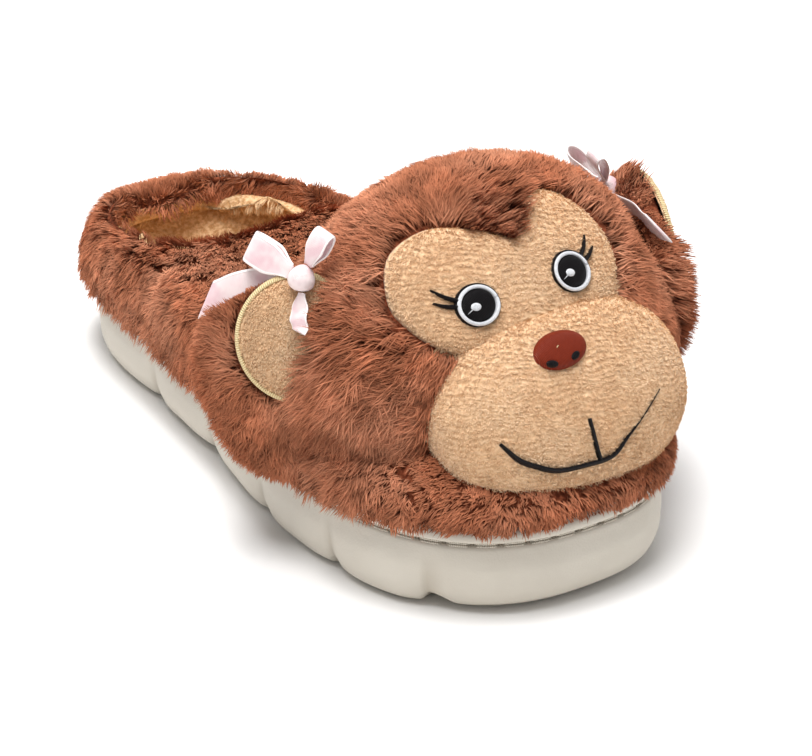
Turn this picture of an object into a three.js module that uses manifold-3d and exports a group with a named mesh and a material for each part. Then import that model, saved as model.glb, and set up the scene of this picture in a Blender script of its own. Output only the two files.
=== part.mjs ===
// Animal slipper, left foot: a moulded cloud sole, a furred mule upper and a stuffed monkey head.
// Millimetres. The floor is z = 0, the toe points to -Y and the wearer's left is +X.
// The origin is the point under the heel where the slipper rests.
import * as THREE from 'three';
import { mergeVertices } from 'three/addons/utils/BufferGeometryUtils.js';
import Module from 'manifold-3d';

const wasm = await Module();
wasm.setup();

// Sole sizes
const LENGTH = 270;
const HEEL_BACK = 40;
const HEEL_WIDTH = 90;
const WAIST_WIDTH = 98;
const BALL_WIDTH = 117;
const TOE_SWING = 5;
const SOLE_HEIGHT = 28.5;
const FOOTBED_HEIGHT = 21;
const RIM_WALL = 6.8;
const LOBE_DEPTH = 2.6;
const TREAD_INSET = 8.5;
const CHANNEL_DEPTH = 3;
const TOE_SPRING = 1.2;
const HEEL_SPRING = 1.6;
const WAIST_LIFT = 1.5;
const STITCH_GROOVE = 1.1;

// Insole and upper sizes
const CLEARANCE = 0.3;
const INSOLE_THICKNESS = 4;
const UPPER_WALL = 5;
const COLLAR_ROLL = 6;
const SKIN_BASE = 34;
const SKIN_BULGE = 1;
const HEEL_COLLAR_HEIGHT = 48;
const SIDE_COLLAR_HEIGHT = 55;
const INSTEP_HEIGHT = 69;
const COLLAR_BACK_INSET = 9;
const THROAT_SETBACK = 108;
const COLLAR_WIDTH = 76;
const LOCK_PROUD = 3;
const LOCK_FALL = 4;
const SKIRT_FALL = 12;

// Head sizes: half widths of the stuffed head, then its seat on the vamp
const HEAD_HALF_WIDTH = 62.5;
const HEAD_HALF_HEIGHT = 55;
const HEAD_FRONT = 37.5;
const HEAD_BACK = 58;
const HEAD_CENTRE_SETBACK = 0.7722 * LENGTH;
const HEAD_CENTRE_HEIGHT = 63.5;
const HEAD_SIDE_SHIFT = -2;
const HEAD_PITCH = 31;
const HEAD_YAW = -9;
const HEAD_ROLL = 7.5;
const HEAD_LOCK_PROUD = 4;
const FACE_THICKNESS = 3;
const MUZZLE_HALF_WIDTH = 44.5;
const MUZZLE_HALF_HEIGHT = 29;
const MUZZLE_DEPTH = 20;
const MUZZLE_DROP = 23.5;
const MUZZLE_FORWARD = 29;
const PATCH_THICKNESS = 1;

// Face details, measured from the middle of the face
const FACE_SHIFT = -2.4;
const EYE_SPREAD = 16.7;
const EYE_RISE = 10.7;
const EYE_WIDTH = 14.6;
const EYE_HEIGHT = 14;
const NOSE_WIDTH = 18.5;
const NOSE_HEIGHT = 13.5;
const NOSE_RISE = 13;

// Ears and bows
const EAR_WIDTH = 62;
const EAR_HEIGHT = 66;
const EAR_THICKNESS = 17;
const EAR_OUT = 62;
const EAR_BACK = 6;
const EAR_TILT = 12;
const EAR_PATCH_RADIUS = 19.5;
const EAR_PATCH_INWARD = 6;
const EAR_PATCH_RISE = 12;
const RIBBON_WIDTH = 10;
const RIBBON_THICKNESS = 1.2;
const BOW_KNOT = 8;
const BOW_LIFT = 6;
const BOW_TAIL_DROP = 4;

// The two ears and bows are sewn on by hand, so each side has its own places and angles
const SIDES = [
  {
    side: -1, name: 'right', earRise: 9, earFlare: 52,
    bowOut: 53, bowRise: 34.5, bowForward: 8, bowTurn: 0, longTail: 172,
  },
  {
    side: 1, name: 'left', earRise: 4, earFlare: 12,
    bowOut: 55.5, bowRise: 30, bowForward: -7.5, bowTurn: -4, longTail: 326,
  },
];

// Ribbon loops and tails of a bow: their length, width, loop height and direction round the knot.
// A tail's end is cut on the slant, and the long tail's direction is in the table of the sides.
const BOW_LOOPS = [
  { name: 'outer', length: 1.8 * RIBBON_WIDTH, width: RIBBON_WIDTH, height: 7, angle: 134 },
  { name: 'inner', length: 1.25 * RIBBON_WIDTH, width: 0.7 * RIBBON_WIDTH, height: 6, angle: 42 },
];
const BOW_TAILS = [
  { name: 'long', length: 3.1 * RIBBON_WIDTH, width: RIBBON_WIDTH, slant: 0.8 },
  { name: 'short', length: 1.05 * RIBBON_WIDTH, width: 0.6 * RIBBON_WIDTH, slant: 0.8, angle: 256 },
];

const DEG = Math.PI / 180;

// Widths of the sole along its length: share of the length, full width and its medial share
const WIDTH_ROWS = [
  { at: 0.20, width: HEEL_WIDTH, medial: 0.502 },
  { at: 0.42, width: WAIST_WIDTH, medial: 0.535 },
  { at: 0.68, width: BALL_WIDTH, medial: 0.537 },
];
const HEEL_ROUND = { until: 0.28, power: 2.25 };
const TOE_ROUND = { from: 0.72, power: 2.45 };

// Valleys between the lobes of the sole's side, as shares of the length
const VALLEYS = [0.085, 0.293, 0.463, 0.624, 0.778, 0.915];

// Side of the sole, bottom to top: inset from the outline, height and how much of the lobe it keeps
const SOLE_ROWS = [
  { inset: 4, height: 1.4, lobe: 1 },
  { inset: 1.2, height: 5, lobe: 1 },
  { inset: 0, height: 10, lobe: 0.8 },
  { inset: 0.1, height: 15.5, lobe: 0.45 },
  { inset: 1, height: 20.5, lobe: 0.1 },
  { inset: 1.6, height: SOLE_HEIGHT - 5.3, lobe: 0 },
  { inset: 1.6 + STITCH_GROOVE, height: SOLE_HEIGHT - 4.3, lobe: 0 },
  { inset: 1.7, height: SOLE_HEIGHT - 3.3, lobe: 0 },
  { inset: 2, height: SOLE_HEIGHT - 1.2, lobe: 0 },
  { inset: 3.6, height: SOLE_HEIGHT, lobe: 0 },
  { inset: RIM_WALL - 0.8, height: SOLE_HEIGHT - 0.3, lobe: 0 },
  { inset: RIM_WALL, height: FOOTBED_HEIGHT, lobe: 0 },
];

// Sections of the upper round the foot: share of the way from heel to toe, collar height and fullness
const SECTION_ROWS = [
  { at: 0, height: HEEL_COLLAR_HEIGHT, fullness: 2.2 },
  { at: 0.3, height: 0.55 * HEEL_COLLAR_HEIGHT + 0.45 * SIDE_COLLAR_HEIGHT, fullness: 2.2 },
  { at: 0.6, height: SIDE_COLLAR_HEIGHT, fullness: 2.2 },
  { at: 0.85, height: 0.3 * SIDE_COLLAR_HEIGHT + 0.7 * INSTEP_HEIGHT, fullness: 2.0 },
  { at: 1, height: INSTEP_HEIGHT, fullness: 1.9 },
];

// Heart outline of the face panel, as shares of the head's half width and half height
const HEART = [
  { across: 0, up: -0.30 }, { across: -0.45, up: 0 }, { across: -0.60, up: 0.24 },
  { across: -0.60, up: 0.42 }, { across: -0.50, up: 0.61 }, { across: -0.30, up: 0.68 },
  { across: -0.10, up: 0.60 }, { across: 0.08, up: 0.47 }, { across: 0.17, up: 0.56 },
  { across: 0.28, up: 0.68 }, { across: 0.42, up: 0.67 }, { across: 0.55, up: 0.50 },
  { across: 0.60, up: 0.26 }, { across: 0.52, up: 0.03 }, { across: 0.35, up: -0.14 },
];

const smoothstep = (low, high, value) => {
  const t = THREE.MathUtils.clamp((value - low) / (high - low), 0, 1);
  return t * t * (3 - 2 * t);
};

// Reads a column of a table at any share, as a smooth curve that is level at both ends
function readRows(rows, column, at) {
  const last = rows.length - 1;
  if (at <= rows[0].at) return rows[0][column];
  if (at >= rows[last].at) return rows[last][column];
  const k = rows.findIndex((row) => row.at > at) - 1;
  const slope = (j) => (j <= 0 || j >= last ? 0
    : (rows[j + 1][column] - rows[j - 1][column]) / (rows[j + 1].at - rows[j - 1].at));
  const span = rows[k + 1].at - rows[k].at;
  const t = (at - rows[k].at) / span;
  const t2 = t * t;
  const t3 = t2 * t;
  return (2 * t3 - 3 * t2 + 1) * rows[k][column] + (t3 - 2 * t2 + t) * span * slope(k)
    + (3 * t2 - 2 * t3) * rows[k + 1][column] + (t3 - t2) * span * slope(k + 1);
}

// A closed surface made of rings of points that are joined in strips
class Shell {
  constructor() {
    this.points = [];
    this.faces = [];
  }

  ring(points) {
    return points.map((point) => this.points.push(point) - 1);
  }

  strip(low, high) {
    low.forEach((a, k) => {
      const next = (k + 1) % low.length;
      this.faces.push([a, low[next], high[next]], [a, high[next], high[k]]);
    });
  }

  fan(ring, pole, first) {
    const [tip] = this.ring([pole]);
    ring.forEach((a, k) => {
      const b = ring[(k + 1) % ring.length];
      this.faces.push(first ? [b, a, tip] : [a, b, tip]);
    });
  }

  // Closes a ring that is alike left and right with straight rows across it
  deck(ring, columns, lift, first) {
    const half = ring.length / 2;
    const rows = [[ring[0]]];
    for (let i = 1; i < half; i += 1) {
      const a = this.points[ring[i]];
      const b = this.points[ring[ring.length - i]];
      const inner = [];
      for (let k = 1; k < columns; k += 1) {
        const share = k / columns;
        inner.push(a.clone().lerp(b, share).add(new THREE.Vector3(0, 0, lift(share, i))));
      }
      rows.push([ring[i], ...this.ring(inner), ring[ring.length - i]]);
    }
    rows.push([ring[half]]);
    const put = (a, b, c) => this.faces.push(first ? [a, c, b] : [a, b, c]);
    for (let i = 0; i < half; i += 1) {
      const near = rows[i];
      const far = rows[i + 1];
      for (let k = 0; k < columns; k += 1) {
        if (near.length === 1) put(near[0], far[k], far[k + 1]);
        else if (far.length === 1) put(near[k], far[0], near[k + 1]);
        else {
          put(near[k], far[k], far[k + 1]);
          put(near[k], far[k + 1], near[k + 1]);
        }
      }
    }
  }

  geometry() {
    let volume = 0;
    this.faces.forEach(([a, b, c]) => {
      volume += this.points[a].dot(this.points[b].clone().cross(this.points[c]));
    });
    const index = this.faces.flatMap(([a, b, c]) => (volume < 0 ? [a, c, b] : [a, b, c]));
    const geometry = new THREE.BufferGeometry();
    const values = new Float32Array(this.points.flatMap((p) => [p.x, p.y, p.z]));
    geometry.setAttribute('position', new THREE.BufferAttribute(values, 3));
    geometry.setIndex(index);
    return geometry;
  }
}

function solidOf(geometry) {
  const bare = geometry.clone();
  bare.deleteAttribute('normal');
  bare.deleteAttribute('uv');
  const merged = mergeVertices(bare, 1e-4);
  return new wasm.Manifold(new wasm.Mesh({
    numProp: 3,
    vertProperties: new Float32Array(merged.attributes.position.array),
    triVerts: new Uint32Array(merged.index.array),
  }));
}

function geometryOf(solid) {
  const mesh = solid.getMesh();
  const geometry = new THREE.BufferGeometry();
  geometry.setAttribute('position', new THREE.BufferAttribute(new Float32Array(mesh.vertProperties), 3));
  geometry.setIndex(Array.from(mesh.triVerts));
  return geometry;
}

// The sole's outline

function roundEnds(along) {
  let share = 1;
  if (along < HEEL_ROUND.until) {
    const t = 1 - along / HEEL_ROUND.until;
    share *= Math.max(1 - t ** HEEL_ROUND.power, 0) ** (1 / HEEL_ROUND.power);
  }
  if (along > TOE_ROUND.from) {
    const t = (along - TOE_ROUND.from) / (1 - TOE_ROUND.from);
    share *= Math.max(1 - t ** TOE_ROUND.power, 0) ** (1 / TOE_ROUND.power);
  }
  return share;
}

// turn runs from 0 at the heel round the medial side to PI at the toe and back on the lateral side
function outlineAt(turn) {
  const along = (1 - Math.cos(turn)) / 2;
  const medial = Math.sin(turn) >= 0;
  const width = readRows(WIDTH_ROWS, 'width', along);
  const share = readRows(WIDTH_ROWS, 'medial', along);
  const reach = width * (medial ? -share : 1 - share) * roundEnds(along);
  const swing = -TOE_SWING * smoothstep(0.45, 1, along);
  return new THREE.Vector2(swing + reach, HEEL_BACK - along * LENGTH);
}

function insetAt(turn, inset) {
  const step = 0.01;
  const run = outlineAt(turn + step).sub(outlineAt(turn - step)).normalize();
  return outlineAt(turn).add(new THREE.Vector2(-run.y, run.x).multiplyScalar(inset));
}

const turnOf = (along) => Math.acos(1 - 2 * along);

// Stations round the sole: their turn and their place across the lobe they are in
function soleStations() {
  const medial = VALLEYS.map(turnOf);
  const lateral = medial.map((turn) => 2 * Math.PI - turn).reverse();
  const valleys = [-medial[0], ...medial, ...lateral];
  const short = [0, 0.06, 0.2, 0.4, 0.6, 0.8, 0.94];
  const long = [0, 0.05, 0.14, 0.26, 0.38, 0.5, 0.62, 0.74, 0.86, 0.95];
  const stations = [];
  valleys.slice(0, -1).forEach((start, k) => {
    const span = valleys[k + 1] - start;
    const ends = k === 0 || k === medial.length;
    (ends ? long : short).forEach((place) => stations.push({ turn: start + place * span, place }));
  });
  const heel = stations.findIndex((station) => Math.abs(station.turn) < 1e-9);
  return [...stations.slice(heel), ...stations.slice(0, heel)];
}

// How far the underside is off the floor: toe and heel spring and a slight lift at the waist
function springAt(along) {
  return TOE_SPRING * smoothstep(0.84, 1, along) ** 1.5 + HEEL_SPRING * smoothstep(0.06, 0, along)
    + WAIST_LIFT * smoothstep(0.30, 0.38, along) * smoothstep(0.62, 0.54, along);
}

function outsole() {
  const shell = new Shell();
  const stations = soleStations();
  const alongs = stations.map(({ turn }) => (1 - Math.cos(turn)) / 2);
  const pillow = stations.map(({ place }) => Math.abs(2 * place - 1) ** 3);
  const level = (station, inset, height, lobe) => {
    const share = Math.max(1 - height / FOOTBED_HEIGHT, 0);
    const depth = inset + LOBE_DEPTH * lobe * pillow[station];
    const { x, y } = insetAt(stations[station].turn, depth);
    return new THREE.Vector3(x, y, height + springAt(alongs[station]) * share);
  };
  const channel = stations.map(({ place }) => (place === 0 ? CHANNEL_DEPTH : 0));
  const tread = shell.ring(stations.map((s, k) => level(k, TREAD_INSET, 0, 1)
    .add(new THREE.Vector3(0, 0, channel[k]))));
  const rings = SOLE_ROWS.map(({ inset, height, lobe }) => shell.ring(
    stations.map((s, k) => level(k, inset, height, lobe)
      .add(new THREE.Vector3(0, 0, height < 2 ? 0.8 * channel[k] : 0))),
  ));
  shell.deck(tread, 4, () => 0, true);
  [tread, ...rings].reduce((low, high) => {
    shell.strip(low, high);
    return high;
  });
  shell.deck(rings[rings.length - 1], 3, () => 0, false);
  return shell.geometry();
}

const INSOLE_INSET = RIM_WALL + CLEARANCE + UPPER_WALL + CLEARANCE;

function insole() {
  const shell = new Shell();
  const stations = evenTurns(40);
  const bottom = FOOTBED_HEIGHT + CLEARANCE;
  const rows = [
    { inset: INSOLE_INSET + 0.6, height: bottom },
    { inset: INSOLE_INSET, height: bottom + 0.4 * INSOLE_THICKNESS },
    { inset: INSOLE_INSET + 1.2, height: bottom + INSOLE_THICKNESS },
  ];
  const rings = rows.map(({ inset, height }) => shell.ring(stations.map((turn) => {
    const { x, y } = insetAt(turn, inset);
    return new THREE.Vector3(x, y, height);
  })));
  shell.deck(rings[0], 3, () => 0, true);
  shell.strip(rings[0], rings[1]);
  shell.strip(rings[1], rings[2]);
  shell.deck(rings[2], 4, (share) => -1.2 * Math.sin(Math.PI * share), false);
  return shell.geometry();
}

function evenTurns(count) {
  return Array.from({ length: count }, (_, k) => (2 * Math.PI * k) / count);
}

// The upper: sections that rise from above the rim to the collar line

// Share of the way from the heel to the toe, by turn, the same on both sides
function shareOf(turn) {
  return Math.abs(THREE.MathUtils.euclideanModulo(turn + Math.PI, 2 * Math.PI) - Math.PI) / Math.PI;
}

function collarAt(turn) {
  const back = HEEL_BACK - COLLAR_BACK_INSET;
  const throat = HEEL_BACK - THROAT_SETBACK;
  const y = (back + throat) / 2 + ((back - throat) / 2) * Math.cos(turn);
  const round = Math.sin(turn);
  const x = -Math.sign(round) * (COLLAR_WIDTH / 2) * Math.abs(round) ** 0.9;
  return new THREE.Vector3(x, y, readRows(SECTION_ROWS, 'height', shareOf(turn)));
}

// rise runs from 0 at the foot of the wall to 1 at the collar
function skinAt(turn, rise) {
  const fullness = readRows(SECTION_ROWS, 'fullness', shareOf(turn));
  const lean = (rise * Math.PI) / 2;
  const foot = insetAt(turn, -SKIN_BULGE);
  const collar = collarAt(turn);
  const inward = 1 - Math.cos(lean) ** (2 / fullness);
  const upward = Math.sin(lean) ** (2 / fullness);
  return new THREE.Vector3(
    foot.x + (collar.x - foot.x) * inward,
    foot.y + (collar.y - foot.y) * inward,
    SKIN_BASE + (collar.z - SKIN_BASE) * upward,
  );
}

function skinNormal(turn, rise) {
  const low = Math.max(rise - 0.03, 0.01);
  const high = Math.min(rise + 0.03, 0.97);
  const up = skinAt(turn, high).sub(skinAt(turn, low));
  const round = skinAt(turn + 0.03, (low + high) / 2).sub(skinAt(turn - 0.03, (low + high) / 2));
  return round.cross(up).normalize();
}

function skinOffset(turn, rise, proud) {
  const normal = rise >= 1 ? new THREE.Vector3(0, 0, 1) : skinNormal(turn, rise);
  return skinAt(turn, rise).addScaledVector(normal, proud);
}

const HEM_INSET = RIM_WALL + CLEARANCE;

const HEM_ROWS = [
  { inset: HEM_INSET, height: FOOTBED_HEIGHT + CLEARANCE },
  { inset: HEM_INSET, height: SOLE_HEIGHT + CLEARANCE },
  { inset: 3, height: SOLE_HEIGHT + 3 * CLEARANCE },
  { inset: 0, height: SOLE_HEIGHT + 3 },
];

const RISES = [0, 0.12, 0.24, 0.37, 0.5, 0.64, 0.78, 0.9, 1];
const UPPER_TURNS = evenTurns(60);

function hemPoint(turn, { inset, height }) {
  const { x, y } = insetAt(turn, inset);
  return new THREE.Vector3(x, y, height);
}

// Fur locks on the upper: every other point stands proud and is combed down towards the sole,
// and the lowest row hangs over the sole's side as a skirt that is shorter at the toe
function lockOnSkin(turn, rise, station, row) {
  const point = skinOffset(turn, rise, 0);
  const isLock = (station + row) % 2 !== 0;
  if (row === 0) {
    const skirt = SKIRT_FALL * (isLock ? 1 : 0.7) * (1 - 0.6 * smoothstep(0.7, 0.86, shareOf(turn)));
    return skinOffset(turn, rise, isLock ? LOCK_PROUD / 2 : 0).sub(new THREE.Vector3(0, 0, skirt));
  }
  if (rise >= 1 || !isLock) return point;
  const clear = smoothstep(1.12, 1.5, headDepth(point, 0));
  const fall = LOCK_FALL * (1 - 0.6 * rise);
  return skinOffset(turn, rise, LOCK_PROUD * clear).sub(new THREE.Vector3(0, 0, fall * clear));
}

function upper() {
  const shell = new Shell();
  const rings = HEM_ROWS.map((row) => shell.ring(UPPER_TURNS.map((turn) => hemPoint(turn, row))));
  RISES.forEach((rise, row) => {
    rings.push(shell.ring(UPPER_TURNS.map((turn, k) => lockOnSkin(turn, rise, k, row))));
  });
  [45, 0, -45].forEach((angle) => {
    rings.push(shell.ring(UPPER_TURNS.map((turn) => {
      const collar = collarAt(turn);
      const foot = insetAt(turn, -SKIN_BULGE);
      const inward = new THREE.Vector3(collar.x - foot.x, collar.y - foot.y, 0).normalize();
      return collar.addScaledVector(inward, COLLAR_ROLL * Math.cos(angle * DEG))
        .add(new THREE.Vector3(0, 0, COLLAR_ROLL * (Math.sin(angle * DEG) - 1)));
    })));
  });
  [1, 0.85, 0.6, 0.35, 0.1].forEach((rise) => {
    const wall = UPPER_WALL + (2 * COLLAR_ROLL - UPPER_WALL) * smoothstep(0.6, 1, rise);
    rings.push(shell.ring(UPPER_TURNS.map((turn) => skinOffset(turn, rise, -wall))));
  });
  const inner = [
    { inset: HEM_INSET + UPPER_WALL, height: SOLE_HEIGHT },
    { inset: HEM_INSET + UPPER_WALL, height: FOOTBED_HEIGHT + CLEARANCE },
  ];
  inner.forEach((row) => rings.push(shell.ring(UPPER_TURNS.map((turn) => hemPoint(turn, row)))));
  rings.forEach((ring, k) => shell.strip(ring, rings[(k + 1) % rings.length]));
  return shell.geometry();
}

// The space that the upper takes up, grown a little and filled, which the head is cut by
function upperSeat() {
  const shell = new Shell();
  const grow = 2 * CLEARANCE;
  const foot = -(SKIN_BULGE + LOCK_PROUD / 2 + grow);
  const rings = [FOOTBED_HEIGHT, SKIN_BASE].map((height) => shell.ring(
    UPPER_TURNS.map((turn) => hemPoint(turn, { inset: foot, height })),
  ));
  RISES.slice(1).forEach((rise, row) => {
    rings.push(shell.ring(UPPER_TURNS.map((turn, k) => {
      const out = skinOffset(turn, rise, grow).sub(skinAt(turn, rise));
      return lockOnSkin(turn, rise, k, row + 1).add(out);
    })));
  });
  shell.deck(rings[0], 3, () => 0, true);
  rings.reduce((low, high) => {
    shell.strip(low, high);
    return high;
  });
  shell.deck(rings[rings.length - 1], 3, () => 0, false);
  return shell.geometry();
}

// The head's own frame: x across, y up the face, z out of the face

const headFrame = new THREE.Group();
{
  const front = new THREE.Vector3(Math.sin(HEAD_YAW * DEG), -Math.cos(HEAD_YAW * DEG), 0);
  const across = new THREE.Vector3(Math.cos(HEAD_YAW * DEG), Math.sin(HEAD_YAW * DEG), 0);
  const out = front.multiplyScalar(Math.cos(HEAD_PITCH * DEG)).setZ(Math.sin(HEAD_PITCH * DEG));
  const up = out.clone().cross(across);
  headFrame.quaternion.setFromRotationMatrix(new THREE.Matrix4().makeBasis(across, up, out));
  headFrame.rotateZ(HEAD_ROLL * DEG);
  headFrame.position.set(HEAD_SIDE_SHIFT, HEEL_BACK - HEAD_CENTRE_SETBACK, HEAD_CENTRE_HEIGHT);
  headFrame.updateMatrixWorld(true);
}
const toHead = headFrame.matrixWorld.clone().invert();

// 1 on the head's surface, less inside it, for a point of the slipper or of the head's frame
function depthInHead(local, proud) {
  const depth = local.z > 0 ? HEAD_FRONT : HEAD_BACK;
  return Math.hypot(
    local.x / (HEAD_HALF_WIDTH + proud),
    local.y / (HEAD_HALF_HEIGHT + proud),
    local.z / (depth + proud),
  );
}

function headDepth(point, proud) {
  return depthInHead(point.clone().applyMatrix4(toHead), proud);
}

// An egg-shaped closed surface: half sizes, depth in front and behind, squareness and a dent per point
function egg(half, { around = 40, rows = 14, power = 2, shape = (point) => point }) {
  const shell = new Shell();
  const rings = [];
  const bend = (value) => Math.sign(value) * Math.abs(value) ** (2 / power);
  for (let j = 1; j < rows; j += 1) {
    const polar = (Math.PI * j) / rows;
    rings.push(shell.ring(Array.from({ length: around }, (_, i) => {
      const azimuth = (2 * Math.PI * (i + 0.5)) / around;
      const flat = bend(Math.sin(polar));
      const tall = bend(Math.cos(polar)) * (polar < Math.PI / 2 ? half.front : half.back);
      const point = new THREE.Vector3(
        half.x * flat * bend(Math.cos(azimuth)),
        half.y * flat * bend(Math.sin(azimuth)),
        tall,
      );
      return shape(point, i, j);
    })));
  }
  shell.fan(rings[0], shape(new THREE.Vector3(0, 0, half.front), 0, 0), true);
  rings.reduce((low, high) => {
    shell.strip(low, high);
    return high;
  });
  shell.fan(rings[rings.length - 1], shape(new THREE.Vector3(0, 0, -half.back), 0, rows), false);
  return shell.geometry();
}

function headEgg(proud, options = {}) {
  return egg({
    x: HEAD_HALF_WIDTH + proud,
    y: HEAD_HALF_HEIGHT + proud,
    front: HEAD_FRONT + proud,
    back: HEAD_BACK + proud,
  }, options);
}

const heartCurve = new THREE.CatmullRomCurve3(
  HEART.map(({ across, up }) => new THREE.Vector3(
    FACE_SHIFT + across * HEAD_HALF_WIDTH,
    up * HEAD_HALF_HEIGHT,
    0,
  )),
  true,
);
const heartPoints = heartCurve.getPoints(44).slice(0, -1);

function insideHeart(x, y) {
  let inside = false;
  heartPoints.forEach((a, k) => {
    const b = heartPoints[(k + 1) % heartPoints.length];
    if ((a.y > y) !== (b.y > y) && x < a.x + ((b.x - a.x) * (y - a.y)) / (b.y - a.y)) inside = !inside;
  });
  return inside;
}

function heartGap(x, y) {
  const near = Math.min(...heartPoints.map((p) => Math.hypot(p.x - x, p.y - y)));
  return insideHeart(x, y) ? -near : near;
}

function muzzleDepth(local) {
  return Math.hypot(
    local.x / MUZZLE_HALF_WIDTH,
    (local.y + MUZZLE_DROP) / MUZZLE_HALF_HEIGHT,
    Math.max(local.z - MUZZLE_FORWARD, 0) / MUZZLE_DEPTH,
  );
}

// Fur locks on the head: every other point stands proud, combed back from the face
function lockOnHead(point, i, j) {
  if ((i + j) % 2 === 0) return point;
  const front = smoothstep(-5, 5, point.z);
  const fromFace = 1 - front + front * smoothstep(6, 10, heartGap(point.x, point.y));
  const fromMuzzle = 1 - front + front * smoothstep(1.12, 1.3, muzzleDepth(point));
  const proud = HEAD_LOCK_PROUD * fromFace * fromMuzzle;
  const comb = point.clone().normalize().add(new THREE.Vector3(0, -0.3, -0.5)).normalize();
  return point.addScaledVector(comb, proud);
}

function prism(points, low, high) {
  const shape = new THREE.Shape(points.map((p) => new THREE.Vector2(p.x, p.y)));
  const geometry = new THREE.ExtrudeGeometry(shape, { depth: high - low, bevelEnabled: false });
  return geometry.translate(0, 0, low);
}

function ellipse(cx, cy, width, height, count = 24) {
  return evenTurns(count).map((turn) => ({
    x: cx + (width / 2) * Math.cos(turn),
    y: cy + (height / 2) * Math.sin(turn),
  }));
}

// Solids that cut the head's pieces, all in the head's frame

const seat = solidOf(upperSeat().applyMatrix4(toHead));
const floorSlab = (() => {
  const slab = new THREE.BoxGeometry(2 * LENGTH, 2 * LENGTH, LENGTH);
  slab.translate(0, 0, SOLE_HEIGHT + 2 - LENGTH / 2);
  return solidOf(slab.applyMatrix4(toHead));
})();

function muzzleEgg(proud) {
  const geometry = egg({
    x: MUZZLE_HALF_WIDTH + proud,
    y: MUZZLE_HALF_HEIGHT + proud,
    front: MUZZLE_DEPTH + proud,
    back: MUZZLE_FORWARD,
  }, { around: 32, rows: 12, power: 2.25 });
  return geometry.translate(0, -MUZZLE_DROP, MUZZLE_FORWARD);
}

function headHood(room) {
  const fur = solidOf(headEgg(0, { around: 44, rows: 17, shape: lockOnHead })).subtract(seat).subtract(floorSlab);
  return geometryOf(room.reduce((solid, piece) => solid.subtract(solidOf(piece)), fur));
}

function facePanel() {
  const outer = solidOf(headEgg(FACE_THICKNESS, { around: 44, rows: 17 }));
  const inner = solidOf(headEgg(2 * CLEARANCE, { around: 44, rows: 17 }));
  const heart = solidOf(prism(heartPoints, 4, 2 * HEAD_FRONT));
  return geometryOf(outer.intersect(heart).subtract(inner).subtract(solidOf(muzzleEgg(CLEARANCE))));
}

function muzzle() {
  const inner = solidOf(headEgg(CLEARANCE, { around: 44, rows: 17 }));
  return geometryOf(solidOf(muzzleEgg(0)).subtract(inner).subtract(seat).subtract(floorSlab));
}

// A thin patch that follows a larger surface: the part of its grown shell that a prism holds
function patchOn(surface, outline, low) {
  const outer = solidOf(surface(PATCH_THICKNESS + CLEARANCE));
  const inner = solidOf(surface(CLEARANCE));
  return outer.subtract(inner).intersect(solidOf(prism(outline, low, low + 3 * HEAD_FRONT)));
}

function eye(side) {
  const surface = (proud) => headEgg(FACE_THICKNESS + proud, { around: 44, rows: 17 });
  const outline = ellipse(FACE_SHIFT + side * EYE_SPREAD, EYE_RISE, EYE_WIDTH, EYE_HEIGHT);
  return geometryOf(patchOn(surface, outline, 0).subtract(solidOf(muzzleEgg(CLEARANCE))));
}

function nose() {
  const outline = ellipse(FACE_SHIFT, NOSE_RISE - MUZZLE_DROP, NOSE_WIDTH, NOSE_HEIGHT);
  return geometryOf(patchOn(muzzleEgg, outline, MUZZLE_FORWARD));
}

// Ears: furred pads in frames of their own, with a smooth patch on the front

function earFrame({ side, earRise, earFlare }) {
  const frame = new THREE.Group();
  frame.position.set(side * EAR_OUT, earRise, -EAR_BACK);
  const flare = earFlare * DEG;
  const tilt = EAR_TILT * DEG;
  const out = new THREE.Vector3(
    side * Math.cos(flare) * Math.cos(tilt),
    -Math.sin(tilt),
    Math.sin(flare) * Math.cos(tilt),
  );
  const up = new THREE.Vector3(0, 1, 0).addScaledVector(out, -out.y).normalize();
  frame.quaternion.setFromRotationMatrix(new THREE.Matrix4().makeBasis(up.clone().cross(out), up, out));
  frame.updateMatrix();
  return frame;
}

function earEgg(proud, options = {}) {
  return egg({
    x: EAR_WIDTH / 2 + proud,
    y: EAR_HEIGHT / 2 + proud,
    front: EAR_THICKNESS / 2 + proud,
    back: EAR_THICKNESS / 2 + proud,
  }, { around: 28, rows: 10, power: 2.3, ...options });
}

function cutForEar(solid, frame) {
  const inverse = frame.matrix.clone().invert();
  const gap = HEAD_LOCK_PROUD + 2 * CLEARANCE;
  const headRoom = solidOf(headEgg(gap, { around: 44, rows: 17 }).applyMatrix4(inverse));
  const place = new THREE.Matrix4().multiplyMatrices(headFrame.matrixWorld, frame.matrix).invert();
  const upperRoom = solidOf(upperRoomForEar().applyMatrix4(place));
  const floorRoom = solidOf(new THREE.BoxGeometry(2 * LENGTH, 2 * LENGTH, LENGTH)
    .translate(0, 0, SOLE_HEIGHT + 2 - LENGTH / 2).applyMatrix4(place));
  return solid.subtract(headRoom).subtract(upperRoom).subtract(floorRoom);
}

function upperRoomForEar() {
  const shell = new Shell();
  const grow = LOCK_PROUD + 2 * CLEARANCE;
  const rings = RISES.map((rise) => shell.ring(UPPER_TURNS.map((turn) => skinOffset(turn, rise, grow))));
  const low = shell.ring(UPPER_TURNS.map((turn) => hemPoint(turn, { inset: -grow, height: SOLE_HEIGHT })));
  shell.deck(low, 3, () => 0, true);
  [low, ...rings].reduce((under, over) => {
    shell.strip(under, over);
    return over;
  });
  shell.deck(rings[rings.length - 1], 3, () => 0, false);
  return shell.geometry();
}

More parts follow.
